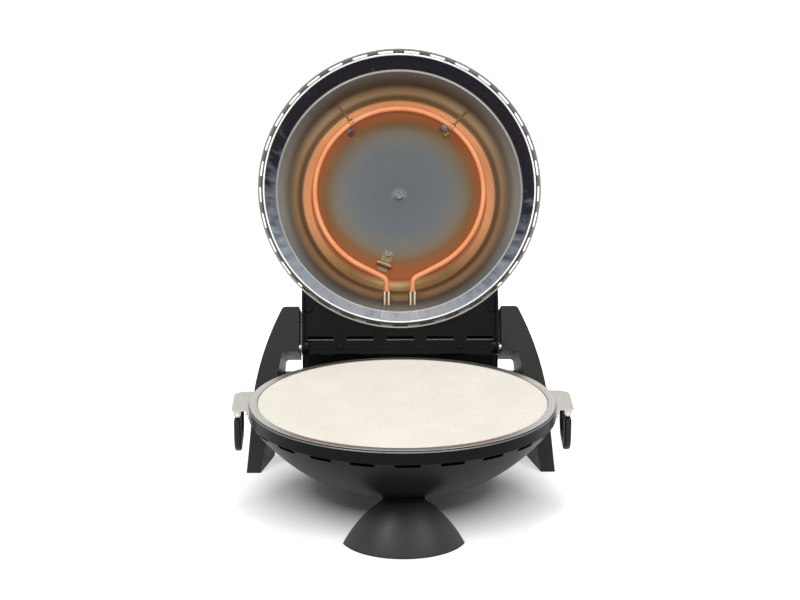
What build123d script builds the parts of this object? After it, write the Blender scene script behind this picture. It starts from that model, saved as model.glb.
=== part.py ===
from build123d import *
import os
from math import asin, atan, cos, pi, radians, sin, sqrt, tan

# Countertop pizza maker with a hinged lid, shown open.
# Millimetres. Origin on the table, straight below the middle of the stone.
# +X is the right-hand side seen from the front, +Y is the back and +Z is up.
# Everything on the lid is drawn where it stands with the lid shut, on planes that swing with the lid.

# ---------------------------------------------------------------- driving dimensions

# cooking stone and lower pan
stone_radius = 155.0
stone_thickness = 12.0
stone_top = 124.4
stone_edge = 1.5
stone_clearance = 0.5
pan_sheet = 1.0
rim_inset = 0.5
rim_roll = 2.4
rim_gap = 2.0
ledge_width = 8.5
lower_pan_floor = 76.0
lower_pan_floor_radius = 118.0

# bowl
bowl_radius = 164.0
bowl_wall = 1.6
bowl_band_foot = 109.0
bowl_ball_centre = 225.5
bowl_floor = 29.0
bowl_slot_count = 22
bowl_slot_turn = 1.1
bowl_slot_length = 26.0
bowl_slot_width = 4.0
bowl_slot_height = 107.0

# posts and cradles inside the bowl
spacer_ring = 70.0
spacer_radius = 5.0
spacer_turns = (90.0, 210.0, 330.0)
cradle_turns = (30.0, 150.0, 270.0)
cradle_length = 10.0
cradle_width = 4.0

# hinge
hinge_y = 185.3
hinge_z = 129.8
open_angle = 112.55
hinge_pin_radius = 3.0
hinge_pin_end = 140.5
hinge_bush_wall = 2.0
running_clearance = 0.05

# lid shell, as radii and depths above the rim
lid_wall = 1.2
lid_bead = 2.0
lid_shoulder_inset = 6.5
lid_shoulder_depth = 9.0
lid_side_radius = 75.0
lid_side_start = 12.0
lid_side_end = 76.0
lid_slot_count = 33
lid_slot_length = 18.0
lid_slot_width = 3.4
lid_slot_shift = 1.1

# pan inside the lid
lid_pan_lip = 1.6
lid_pan_inset = 7.5
lid_pan_step_radius = 142.8
lid_pan_step_depth = 22.4
lid_pan_bend_radius = 128.4
lid_pan_bend_depth = 39.4
lid_pan_floor_radius = 101.5
lid_pan_depth = 61.0
lid_pan_bands = 6
lid_post_spots = ((-56.2, -76.0), (53.6, -80.6), (-12.7, 68.6), (0.0, 0.0))
lid_post_radius = 5.0

# heating elements
element_radius = 98.3
element_tube = 3.3
element_gap = 15.0
element_leave_angle = 27.0
element_bend = 9.0
upper_element_depth = 30.0
upper_element_dip = 9.0
lower_element_height = 95.0
ferrule_radius = 4.9
ferrule_first = 116.5
ferrule_last = 134.0
tube_tail = 1.0
lower_element_shift = 7.0
stud_radius = 1.6
stud_length = 2.0
tab_width = 5.0
tab_length = 3.5
tab_sheet = 0.8

# clips in the lid: where each meets the wall, as a turn about the lid
clip_turns = (236.0, 309.2)
clip_wire = 1.2
clip_wall_radius = 126.3
clip_wall_depth = 44.5
clip_loop_gap = 0.1
clip_loop_wall = 1.2
clip_loop_length = 5.0

# straps held by two of the pan's screws: the larger one holds the sensor bulb
strap_sheet = 0.8
strap_tail = 3.5
sensor_turn = 111.5
sensor_strap_length = 22.0
sensor_strap_width = 12.0
sensor_reach = 14.0
sensor_radius = 2.5
sensor_length = 18.0
leaf_turn = 68.4
leaf_length = 11.0
leaf_width = 6.0
leaf_reach = 8.0
leaf_radius = 1.3

# legs, drawn on a plane that leans back
leg_foot_y = 124.5
leg_lean = 23.0
leg_depth = 55.0
leg_wall = 3.0
leg_steps = (-30.0, 97.0, 107.6, 128.4, 157.6)
leg_inner_front = (164.0, 142.8, 141.0, 135.0)
leg_inner_back = (152.6, 135.2, 133.7, 131.9)
leg_outer_front = (177.4, 166.0, 148.8, 134.0)
leg_outer_back = (166.5, 158.5, 143.5, 129.5)
arm_gap_front = 3.1
arm_gap_back = 1.7
arm_under_front = 138.0
arm_under_back = 134.5
arm_top = 190.0
arm_inner_corner = 4.0
arm_outer_corner = 5.0
leg_pad_radius = 6.0
leg_pad_start = 134.0
pin_boss_radius = 7.2
pin_boss_end = 142.0
leg_rib_steps = (60.0, 118.0, 160.0)
leg_rib_sheet = 2.4
foot_lift = 1.0

# bridge behind the bowl
block_inset = 0.5
block_front = 182.0
block_corner = 6.0
saddle_half_width = 75.0
saddle_front = 105.0
bridge_front = 158.0
bridge_back = 217.0
bridge_front_half_width = 149.0
bridge_back_half_width = 137.0
bridge_top = 92.0
bridge_foot = 60.0
bridge_wall = 4.0
bridge_end_wall = 118.0
bridge_boss_radius = 7.0
bridge_cover_sheet = 2.5
bridge_cover_inset = 1.5
bridge_post_spots = ((112.0, 168.0), (112.0, 207.0))
bridge_post_radius = 6.5
bridge_post_height = 14.0
stop_gap = 1.4
stop_clearance = 0.1
stop_pad_x = 60.0
stop_pad_along = 20.0
stop_pad_length = 30.0
stop_pad_width = 14.0
gland_radius = 6.0
gland_bore = 3.5
gland_length = 12.0
gland_flange = 9.0
gland_flange_sheet = 3.0
gland_x = 70.0
gland_z = 76.0
lower_terminal_y = 188.0

# control box behind the lid
box_half_width = 112.5
box_front = 100.0
box_back = 193.0
box_foot = 127.0
box_top = 182.0
box_wall = 3.0
box_back_wall = 5.0
box_corner = 5.0
flange_radius = 7.6
flange_front = 127.0
hinge_boss_length = 5.0
base_sheet = 2.5
fit_clearance = 0.3
dome_clearance = 0.4
louvre_count = 5
louvre_length = 30.5
louvre_width = 2.8
louvre_pitch = 45.7
louvre_y = 174.3
base_side_post_inset = 7.9
base_side_post_y = 141.0
base_back_post_x = 69.0
base_back_post_inset = 9.6
base_post_radius = 5.5
base_notch_inset = 9.0
base_notch_y = 177.4
base_front_gap = 3.7
hinge_bush_proud = 0.8
base_post_height = 12.0

# knobs, timer, thermostat and lamp
knob_x = 62.0
knob_y = 166.0
knob_radius = 18.0
knob_height = 15.0
knob_lift = 0.8
knob_grips = 24
knob_grip_radius = 1.3
knob_edge = 1.5
knob_pointer_length = 14.0
knob_pointer_width = 3.0
knob_pointer_height = 1.2
knob_bore = 11.0
shaft_radius = 3.0
shaft_hole = 4.0
shaft_depth = 14.0
control_width = 34.0
control_length = 26.0
control_height = 24.0
bell_radius = 14.0
bell_height = 9.0
bell_wall = 1.0
bell_stud = 3.0
lamp_radius = 5.0
lamp_flange = 7.0
lamp_rim = 1.5
lamp_height = 4.0
lamp_depth = 10.0
lamp_edge = 2.0
terminal_length = 40.0
terminal_width = 14.0
terminal_height = 12.0
upper_terminal_z = 146.0

# handle on the lid
handle_turn = 50.0
handle_half_width = 46.0
handle_reach = 28.0
handle_corner = 14.0
handle_width = 17.0
handle_thickness = 12.0
handle_edge = 4.0
handle_root = 14.0
handle_screw_turns = (249.6, 290.4)
box_screw_turns = (50.0, 69.0, 111.0, 130.0)
box_screw_rise = 30.0

# front foot
foot_centre_y = -76.0
foot_radius = 67.0
foot_waist_radius = 52.3
foot_waist = 24.5
foot_neck_radius = 31.0
foot_neck = 47.6
foot_peak = 66.0
foot_back = -97.0
foot_wall = 3.5
foot_saddle_back = -76.0
foot_saddle_half_width = 22.0
foot_saddle_sheet = 5.0
foot_post_radius = 5.5
foot_screw_turns = (261.2, 278.8)
foot_screw_height = 46.1

# folding handles at the sides
plate_reach = 17.6
plate_front = -21.0
plate_back = 45.0
plate_top = 121.6
plate_sheet = 1.6
plate_corner = 14.0
plate_gap = 0.1
plate_skirt = 111.0
handle_pin_inset = 6.1
handle_pin_z = 117.0
handle_pin_radius = 1.5
handle_clearance = 0.08
handle_pin_proud = 1.0
ear_radius = 3.8
ear_spots = (-21.0, 38.4)
grip_thickness = 7.5
grip_front = -24.0
grip_back = 46.0
grip_top = 111.5
grip_foot = 69.0
grip_bar = 13.0
grip_leg = 12.0
grip_corner = 22.0
grip_inner_corner = 9.0
grip_edge = 2.6
grip_rise = 6.0
grip_neck = 3.6
grip_neck_width = 5.0
grip_neck_gap = 0.3
grip_eye_radius = 2.8
rivet_spots = (-10.0, 30.0)
rivet_z = 115.5
rivet_radius = 1.5
rivet_head = 3.0
rivet_height = 1.2

# screws
screw_radius = 2.0
screw_head = 4.5
screw_head_height = 2.5
seat_clearance = 0.08
lid_seat_clearance = 0.2
foot_screw_length = 12.0
bridge_screw_turns = (70.0, 110.0)
bridge_screw_height = 80.0
bridge_screw_length = 16.0
pan_screw_length = 12.0
lid_pan_screw_length = 4.5
lid_screw_length = 10.0
base_screw_length = 12.0
leg_screw_spots = ((185.0, 80.0), (204.0, 72.0))
leg_screw_seat = 150.0
leg_screw_length = 26.0
cover_screw_length = 12.0

# ---------------------------------------------------------------- derived values

lid_rim = stone_top + rim_gap
stone_foot = stone_top - stone_thickness
seat_radius = stone_radius + stone_clearance
ledge_radius = seat_radius - ledge_width
bowl_ball_radius = sqrt(bowl_radius**2 + (bowl_ball_centre - bowl_band_foot) ** 2)
bowl_rim = stone_top - rim_roll
rim_radius = bowl_radius - rim_inset
lid_shoulder_radius = rim_radius - lid_shoulder_inset
lid_pan_radius = rim_radius - lid_pan_inset
plate_half_width = bowl_radius + plate_reach
handle_pin_x = plate_half_width - handle_pin_inset
base_front_radius = rim_radius + base_front_gap
arm_end_front = box_half_width + arm_gap_front
arm_end_back = box_half_width + arm_gap_back
block_half_width = box_half_width - block_inset
hinge_boss_start = box_half_width - box_wall - hinge_boss_length
hinge_bush_end = box_half_width + hinge_bush_proud
base_notch_x = box_half_width - base_notch_inset
base_side_post = (box_half_width - base_side_post_inset, base_side_post_y)
base_back_post = (base_back_post_x, box_back - base_back_post_inset)
bore_radius = hinge_pin_radius + running_clearance
bush_radius = hinge_pin_radius + hinge_bush_wall

# the side of the lid shell is one arc; the crown is a second arc that carries on from its end
side_centre_radius = lid_shoulder_radius - lid_side_radius * cos(radians(lid_side_start))
side_centre_depth = lid_shoulder_depth - lid_side_radius * sin(radians(lid_side_start))
crown_start_radius = side_centre_radius + lid_side_radius * cos(radians(lid_side_end))
crown_start_depth = side_centre_depth + lid_side_radius * sin(radians(lid_side_end))
crown_radius = crown_start_radius / cos(radians(lid_side_end))
crown_centre_depth = crown_start_depth - crown_radius * sin(radians(lid_side_end))

swing = Pos(0, hinge_y, hinge_z) * Rot(-open_angle, 0, 0) * Pos(0, -hinge_y, -hinge_z)


def on_lid(plane):
    """A plane drawn for the shut lid, moved to where the open lid carries it."""
    return Plane(swing * plane.location)


def upright(x=0, y=0, z=0):
    """A plane through a point that faces the front, with its own y pointing up."""
    return Plane(origin=(x, y, z), x_dir=(1, 0, 0), z_dir=(0, -1, 0))


def sideways(x=0, y=0, z=0):
    """A plane through a point that faces +X, with its own x pointing back and its own y pointing up."""
    return Plane(origin=(x, y, z), x_dir=(0, 1, 0), z_dir=(1, 0, 0))


def level(x=0, y=0, z=0):
    """A plane through a point that faces up."""
    return Plane(origin=(x, y, z))


def radial_plane(turn, radius, height, tilt=0.0):
    """A plane that faces away from the middle of the oven, turned about it and tilted up."""
    a = radians(turn)
    t = radians(tilt)
    outward = (cos(a) * cos(t), sin(a) * cos(t), sin(t))
    spot = (radius * cos(a), radius * sin(a), height)
    return Plane(origin=spot, x_dir=(-sin(a), cos(a), 0), z_dir=outward)


def flipped(plane):
    """The same plane, facing the other way."""
    return Plane(origin=plane.origin, x_dir=plane.x_dir, z_dir=-plane.z_dir)


def ball_radius_at(height):
    """Outer radius of the bowl's rounded body at a height above the table."""
    return sqrt(bowl_ball_radius**2 - (bowl_ball_centre - height) ** 2)


def leg_plane(depth):
    """The leaning plane of the legs, a given depth behind their front face."""
    lean = radians(leg_lean)
    front = Plane(origin=(0, leg_foot_y, 0), x_dir=(1, 0, 0), z_dir=(0, -cos(lean), sin(lean)))
    return front.offset(-depth)


lid_section = on_lid(upright(z=lid_rim))
lid_axis = Axis(lid_section.origin, lid_section.y_dir)


# ---------------------------------------------------------------- shared shapes


def element_on(plane, end, dip):
    """One turn of tube that leaves its ring on two tangents and runs to y = end, dipping by the end."""
    leave = radians(element_leave_angle)
    side = element_radius * sin(leave)
    start = element_radius * cos(leave)
    reach = start + (side - element_gap) * tan(leave)
    with BuildPart() as tube:
        with BuildLine(plane) as path:
            CenterArc((0, 0), element_radius, 90 + element_leave_angle, 360 - 2 * element_leave_angle)
            for hand in (-1, 1):
                corner = (hand * element_gap, reach)
                tip = (hand * element_gap, end, dip)
                FilletPolyline((hand * side, start), corner, tip, radius=element_bend)
        wire = path.wire()
        with BuildSketch(Plane(origin=wire @ 0, z_dir=wire % 0)):
            Circle(element_tube)
        sweep(path=wire)
    return tube


def tube_end_plane(plane, hand, end, dip, along):
    """A plane square to the straight end of the element, some way along it from y = 0 of the bend."""
    leave = radians(element_leave_angle)
    reach = element_radius * cos(leave) + (element_radius * sin(leave) - element_gap) * tan(leave)
    run = Vector(0, end - reach, dip)
    share = (along - reach) / (end - reach)
    spot = Plane(origin=(hand * element_gap, along, dip * share), x_dir=(1, 0, 0), z_dir=run)
    return Plane(plane.location * spot.location)


def ferrules_on(plane, end, dip, first, last):
    """Two collars round the element's ends, from y = first to y = last."""
    with BuildPart() as ferrules:
        for hand in (-1, 1):
            with BuildSketch(tube_end_plane(plane, hand, end, dip, first)):
                Circle(ferrule_radius)
                Circle(element_tube, mode=Mode.SUBTRACT)
            extrude(amount=last - first)
    return ferrules


def terminals_on(plane, end, dip):
    """A stud and a flat tab on each end of the element."""
    with BuildPart() as terminals:
        for hand in (-1, 1):
            tip = tube_end_plane(plane, hand, end, dip, end)
            with BuildSketch(tip):
                Circle(stud_radius)
            extrude(amount=stud_length)
            with BuildSketch(tip.offset(stud_length / 2)):
                Rectangle(tab_width, tab_sheet)
            extrude(amount=tab_length)
    return terminals


def screws_at(seats, length):
    """Round-headed screws: each seat is a plane under a head, with its z axis pointing out of the head."""
    with BuildPart() as screws:
        for seat in seats:
            with BuildSketch(seat):
                Circle(screw_head)
            extrude(amount=screw_head_height, taper=12)
            with BuildSketch(seat):
                Circle(screw_radius)
            extrude(amount=-length)
    return screws


def posts_at(seats, radius, length):
    """Round posts that stand on the given planes."""
    with BuildPart() as posts:
        for seat in seats:
            with BuildSketch(seat):
                Circle(radius)
            extrude(amount=length)
    return posts


def mirrored(piece):
    """The same piece for the left-hand side."""
    with BuildPart() as left:
        add(mirror(piece.part, about=Plane.YZ))
    return left


# ---------------------------------------------------------------- bowl


def bowl_body(inset, top=bowl_rim):
    """The outer form of the bowl as a filled solid, shrunk by an inset."""
    ball = bowl_ball_radius - inset
    band = bowl_radius - inset
    floor = bowl_floor + inset
    band_foot = bowl_ball_centre - sqrt(ball**2 - band**2)
    middle = (band_foot + floor) / 2
    middle_radius = sqrt(ball**2 - (bowl_ball_centre - middle) ** 2)
    floor_radius = sqrt(ball**2 - (bowl_ball_centre - floor) ** 2)
    with BuildPart() as body:
        with BuildSketch(Plane.XZ):
            with BuildLine():
                Polyline((floor_radius, floor), (0, floor), (0, top), (band, top), (band, band_foot))
                ThreePointArc((band, band_foot), (middle_radius, middle), (floor_radius, floor))
            make_face()
        revolve(axis=Axis.Z)
    return body


def bowl_seat(turn, height):
    """A screw seat on the inside of the bowl's rounded body, facing inward."""
    slope = asin((bowl_ball_centre - height) / bowl_ball_radius) * 180 / pi
    outside = radial_plane(turn, ball_radius_at(height), height, -slope)
    return flipped(outside.offset(-bowl_wall - seat_clearance))


foot_seats = [bowl_seat(turn, foot_screw_height) for turn in foot_screw_turns]
bridge_seats = [bowl_seat(turn, bridge_screw_height) for turn in bridge_screw_turns]
flipped_bridge_seats = [flipped(seat) for seat in bridge_seats]
foot_screws = screws_at(foot_seats, foot_screw_length)
bridge_screws = screws_at(bridge_seats, bridge_screw_length)



def rivet_plane(side, y, radius):
    """A plane on the upright band of the bowl that faces away from its middle."""
    turn = 90 - side * (90 - asin(y / bowl_radius) * 180 / pi)
    return radial_plane(turn, radius, rivet_z)


# two rivets on each side hold the bracket of the folding handle to the band
skirt_outside = bowl_radius + plate_gap + plate_sheet
band_inside = bowl_radius - bowl_wall - seat_clearance
with BuildPart() as handle_rivets:
    for side in (-1, 1):
        for y in rivet_spots:
            with BuildSketch(rivet_plane(side, y, skirt_outside)):
                Circle(rivet_head)
            extrude(amount=rivet_height, taper=15)
            with BuildSketch(rivet_plane(side, y, band_inside)):
                Circle(rivet_radius)
            extrude(amount=skirt_outside - band_inside)
            with BuildSketch(rivet_plane(side, y, band_inside)):
                Circle(rivet_head)
            extrude(amount=-rivet_height)

bowl_solid = bowl_body(0)
bowl_inside = bowl_body(bowl_wall, bowl_rim + bowl_wall)
bowl_slot_turns = [270 + bowl_slot_turn + 360 / bowl_slot_count * i for i in range(bowl_slot_count)]

with BuildPart() as lower_bowl:
    add(bowl_solid.part)
    add(bowl_inside.part, mode=Mode.SUBTRACT)
    for turn in bowl_slot_turns:
        with BuildSketch(radial_plane(turn, 0, bowl_slot_height)):
            SlotOverall(bowl_slot_length, bowl_slot_width)
        extrude(amount=bowl_radius + bowl_wall, mode=Mode.SUBTRACT)
    add(foot_screws.part, mode=Mode.SUBTRACT)
    add(bridge_screws.part, mode=Mode.SUBTRACT)
    add(handle_rivets.part, mode=Mode.SUBTRACT)

# ---------------------------------------------------------------- stone and lower pan

with BuildPart() as refractory_stone:
    with BuildSketch(level(z=stone_foot)):
        Circle(stone_radius)
    extrude(amount=stone_thickness)
    fillet(refractory_stone.edges(), stone_edge)

lower_element_plane = level(z=lower_element_height)
lower_ferrule_first = ferrule_first + lower_element_shift
lower_ferrule_last = ferrule_last + lower_element_shift
lower_element_end = lower_ferrule_last + tube_tail
lower_heating_element = element_on(lower_element_plane, lower_element_end, 0)
lower_element_ferrules = ferrules_on(
    lower_element_plane, lower_element_end, 0, lower_ferrule_first, lower_ferrule_last
)
lower_element_terminals = terminals_on(lower_element_plane, lower_element_end, 0)

pan_seats = [radial_plane(turn, spacer_ring, lower_pan_floor, 90) for turn in spacer_turns]
pan_screws = screws_at(pan_seats, pan_screw_length)

with BuildPart() as lower_pan:
    with BuildSketch(Plane.XZ):
        with BuildLine():
            Polyline(
                (rim_radius, bowl_rim),
                (rim_radius, stone_top),
                (seat_radius, stone_top),
                (seat_radius, stone_foot),
                (ledge_radius, stone_foot),
                (lower_pan_floor_radius, lower_pan_floor),
                (0, lower_pan_floor),
            )
            offset(amount=pan_sheet, side=Side.LEFT)
        make_face()
    revolve(axis=Axis.Z)
    with BuildSketch(upright(y=element_radius, z=lower_element_height)):
        with Locations((-element_gap, 0), (element_gap, 0)):
            Circle(ferrule_radius)
    extrude(amount=element_radius - seat_radius, mode=Mode.SUBTRACT)
    add(pan_screws.part, mode=Mode.SUBTRACT)

# posts between the floor of the bowl and the floor of the pan
spacer_seats = [flipped(seat.offset(-pan_sheet)) for seat in pan_seats]
with BuildPart() as pan_spacers:
    add(posts_at(spacer_seats, spacer_radius, lower_pan_floor - bowl_floor).part)
    add(bowl_inside.part, mode=Mode.INTERSECT)
    add(pan_screws.part, mode=Mode.SUBTRACT)

# three cradles carry the tube above the floor of the pan
with BuildPart() as lower_element_cradles:
    with BuildSketch(level(z=lower_pan_floor)):
        for turn in cradle_turns:
            with PolarLocations(element_radius, 1, turn):
                Rectangle(cradle_length, cradle_width)
    extrude(amount=lower_element_height - lower_pan_floor)
    add(lower_heating_element.part, mode=Mode.SUBTRACT)

# ---------------------------------------------------------------- front foot


def foot_body(inset):
    """The cone-like dome of the front foot as a filled solid, shrunk by an inset."""
    with BuildPart() as body:
        with BuildSketch(upright(y=foot_centre_y)):
            with BuildLine():
                rim = (foot_radius - inset, 0)
                neck = (foot_neck_radius - inset, foot_neck - inset)
                ThreePointArc(rim, (foot_waist_radius - inset, foot_waist), neck)
                Polyline(neck, (0, foot_peak - inset), (0, 0), rim)
            make_face()
        revolve(axis=Axis((0, foot_centre_y, 0), (0, 0, 1)))
    return body


with BuildPart() as foot_shell:
    add(foot_body(0).part)
    add(foot_body(foot_wall).part, mode=Mode.SUBTRACT)
    split(bisect_by=upright(y=foot_back), keep=Keep.TOP)

foot_posts = posts_at([flipped(seat) for seat in foot_seats], foot_post_radius, foot_screw_length)

with BuildPart() as foot_saddle:
    add(foot_body(0).part)
    add(bowl_body(-foot_saddle_sheet).part, mode=Mode.INTERSECT)
    add(foot_posts.part)
    split(bisect_by=upright(y=foot_saddle_back), keep=Keep.TOP)

with BuildPart() as front_foot:
    add(foot_shell.part)
    add(foot_saddle.part)
    split(bisect_by=level(z=foot_lift), keep=Keep.TOP)
    add(bowl_solid.part, mode=Mode.SUBTRACT)
    add(foot_screws.part, mode=Mode.SUBTRACT)
    with BuildSketch(upright(y=foot_back)):
        with Locations((foot_saddle_half_width, 0), (-foot_saddle_half_width - foot_radius, 0)):
            Rectangle(foot_radius, foot_radius, align=(Align.MIN, Align.MIN))
    extrude(amount=foot_back - foot_saddle_back, mode=Mode.SUBTRACT)

with BuildPart() as front_foot_pad:
    add(foot_shell.part)
    split(bisect_by=level(z=foot_lift), keep=Keep.BOTTOM)

# ---------------------------------------------------------------- legs


def leg_form(inset, first, last):
    """A leg and its arm as a filled solid between two depths, shrunk by an inset."""
    front = (first, leg_inner_front, leg_outer_front, arm_end_front, arm_under_front)
    back = (last, leg_inner_back, leg_outer_back, arm_end_back, arm_under_back)
    top = arm_top - inset
    with BuildPart() as form:
        for depth, inner_edge, outer_edge, arm_end, arm_under in (front, back):
            inner = [x + inset for x in inner_edge]
            outer = [x - inset for x in outer_edge]
            end = arm_end + inset
            under = arm_under + inset
            with BuildSketch(leg_plane(depth)) as outline:
                with BuildLine():
                    Polyline(
                        (outer[1], leg_steps[1]),
                        (outer[0], leg_steps[0]),
                        (inner[0], leg_steps[0]),
                        (inner[1], leg_steps[1]),
                        (inner[2], leg_steps[2]),
                        (inner[3], under),
                        (end, under),
                        (end, top),
                        (outer[3], top),
                    )
                    ThreePointArc((outer[3], top), (outer[2], leg_steps[4]), (outer[1], leg_steps[1]))
                make_face()
                inner_corner = outline.vertices().sort_by_distance(Vector(inner[3], under))[0]
                fillet(inner_corner, arm_inner_corner + inset)
                outer_corner = outline.vertices().sort_by_distance(Vector(outer[3], top))[0]
                fillet(outer_corner, arm_outer_corner - inset)
        loft(ruled=True)
    return form


leg_solid = leg_form(0, 0, leg_depth)
leg_seats = [sideways(leg_screw_seat, y, z) for y, z in leg_screw_spots]
right_leg_screws = screws_at(leg_seats, leg_screw_length)

with BuildPart() as right_hinge_pin:
    with BuildSketch(sideways(hinge_boss_start, hinge_y, hinge_z)):
        Circle(hinge_pin_radius)
    extrude(amount=hinge_pin_end - hinge_boss_start)

# ribs across the hollow back of the leg, a boss for the hinge pin and pads for the bolts
with BuildPart() as leg_inside:
    for step in leg_rib_steps:
        with BuildSketch(leg_plane(leg_wall / 2)):
            with Locations((leg_screw_seat, step)):
                Rectangle(leg_screw_seat / 2, leg_rib_sheet)
        extrude(amount=-leg_depth)
    with BuildSketch(sideways(arm_end_back - leg_wall, hinge_y, hinge_z)):
        Circle(pin_boss_radius)
    extrude(amount=pin_boss_end - arm_end_back + leg_wall)
    for y, z in leg_screw_spots:
        with BuildSketch(sideways(leg_pad_start, y, z)):
            Circle(leg_pad_radius)
        extrude(amount=leg_screw_seat - leg_pad_start)
    add(leg_solid.part, mode=Mode.INTERSECT)

with BuildPart() as right_leg:
    add(leg_solid.part)
    add(leg_form(leg_wall, leg_wall, leg_depth + leg_wall).part, mode=Mode.SUBTRACT)
    add(leg_inside.part)
    split(bisect_by=level(z=foot_lift), keep=Keep.TOP)
    add(right_leg_screws.part, mode=Mode.SUBTRACT)
    add(right_hinge_pin.part, mode=Mode.SUBTRACT)

with BuildPart() as right_leg_pad:
    add(leg_solid.part)
    split(bisect_by=level(z=foot_lift), keep=Keep.BOTTOM)
    split(bisect_by=level(), keep=Keep.TOP)

left_leg = mirrored(right_leg)

with BuildPart() as leg_pads:
    add(right_leg_pad.part)
    add(mirrored(right_leg_pad).part)

with BuildPart() as leg_screws:
    add(right_leg_screws.part)
    add(mirrored(right_leg_screws).part)

with BuildPart() as hinge_pins:
    add(right_hinge_pin.part)
    add(mirrored(right_hinge_pin).part)

# ---------------------------------------------------------------- bridge behind the bowl

# the back of the open control box lies just above this slope, and leans on two rubber pads
stop_plane = on_lid(upright(y=box_back + stop_gap, z=hinge_z))


def bridge_block(inset):
    """The raised middle of the bridge as a filled solid up to the slope, shrunk by an inset."""
    width = 2 * (block_half_width - inset)
    length = bridge_back - block_front - 2 * inset
    with BuildPart() as block:
        with BuildSketch(level(y=(block_front + bridge_back) / 2, z=bridge_foot)):
            Rectangle(width, length)
        extrude(amount=hinge_z - bridge_foot)
        split(bisect_by=stop_plane.offset(-inset), keep=Keep.BOTTOM)
        upright_edges = block.edges().filter_by(Axis.Z)
        fillet(upright_edges, block_corner - inset)
    return block


def bridge_beam(inset, height):
    """The low beam between the legs and the saddle under the bowl, shrunk by an inset."""
    front = bridge_front + inset
    back = bridge_back - inset
    front_side = bridge_front_half_width - inset
    back_side = bridge_back_half_width - inset
    with BuildPart() as beam:
        with BuildSketch(level(z=bridge_foot)):
            with BuildLine():
                Polyline(
                    (-front_side, front),
                    (front_side, front),
                    (back_side, back),
                    (-back_side, back),
                    close=True,
                )
            make_face()
            with Locations((0, (saddle_front + bridge_back) / 2)):
                Rectangle(2 * (saddle_half_width - inset), bridge_back - saddle_front - 2 * inset)
        extrude(amount=height)
        add(bowl_body(-inset).part, mode=Mode.SUBTRACT)
    return beam


bridge_post_seats = []
for x, y in bridge_post_spots:
    bridge_post_seats += [level(-x, y, bridge_foot), level(x, y, bridge_foot)]
cover_seats = [flipped(seat.offset(-bridge_cover_sheet)) for seat in bridge_post_seats]
bridge_cover_screws = screws_at(cover_seats, cover_screw_length)

# the hollow under the bridge keeps its solid ends, the bosses round the screws and the cover's posts
with BuildPart() as bridge_hollow:
    add(bridge_beam(bridge_wall, bridge_top - bridge_foot - bridge_wall).part)
    split(bisect_by=sideways(bridge_end_wall), keep=Keep.BOTTOM)
    split(bisect_by=sideways(-bridge_end_wall), keep=Keep.TOP)
    add(bridge_block(bridge_wall).part)
    bosses = posts_at(flipped_bridge_seats, bridge_boss_radius, bridge_screw_length)
    add(bosses.part, mode=Mode.SUBTRACT)
    add(posts_at(bridge_post_seats, bridge_post_radius, bridge_post_height).part, mode=Mode.SUBTRACT)

gland_plane = upright(gland_x, bridge_back, gland_z)
with BuildPart() as cord_gland:
    with BuildSketch(gland_plane.offset(-gland_flange_sheet)):
        Circle(gland_flange)
    extrude(amount=gland_flange_sheet)
    with BuildSketch(gland_plane):
        Circle(gland_radius)
    extrude(amount=gland_length)
    with BuildSketch(gland_plane.offset(-gland_flange_sheet)):
        Circle(gland_bore)
    extrude(amount=gland_length + gland_flange_sheet, mode=Mode.SUBTRACT)

with BuildPart() as rear_bridge:
    add(bridge_block(0).part)
    add(bridge_beam(0, bridge_top - bridge_foot).part)
    add(bridge_hollow.part, mode=Mode.SUBTRACT)
    add(leg_solid.part, mode=Mode.SUBTRACT)
    add(mirrored(leg_solid).part, mode=Mode.SUBTRACT)
    add(leg_screws.part, mode=Mode.SUBTRACT)
    add(bridge_screws.part, mode=Mode.SUBTRACT)
    add(bridge_cover_screws.part, mode=Mode.SUBTRACT)
    with BuildSketch(gland_plane):
        Circle(gland_radius)
    extrude(amount=gland_length, mode=Mode.SUBTRACT)

with BuildPart() as bridge_cover:
    add(bridge_beam(bridge_cover_inset, bridge_cover_sheet).part.moved(Pos(0, 0, -bridge_cover_sheet)))
    add(bowl_solid.part, mode=Mode.SUBTRACT)
    add(leg_solid.part, mode=Mode.SUBTRACT)
    add(mirrored(leg_solid).part, mode=Mode.SUBTRACT)
    add(bridge_cover_screws.part, mode=Mode.SUBTRACT)

with BuildPart() as lower_terminal_block:
    with BuildSketch(level(y=lower_terminal_y, z=bridge_foot)):
        RectangleRounded(terminal_length, terminal_width, 2)
    extrude(amount=terminal_height)

with BuildPart() as stop_bumpers:
    with BuildSketch(stop_plane):
        with Locations((-stop_pad_x, stop_pad_along), (stop_pad_x, stop_pad_along)):
            RectangleRounded(stop_pad_length, stop_pad_width, 3)
    extrude(amount=stop_gap - stop_clearance)

# ---------------------------------------------------------------- folding handles at the sides

with BuildPart() as right_handle_pin:
    with BuildSketch(upright(handle_pin_x, ear_spots[0] - handle_pin_proud, handle_pin_z)):
        Circle(handle_pin_radius)
    extrude(amount=ear_spots[0] - ear_spots[1] - plate_sheet - 2 * handle_pin_proud)

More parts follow.
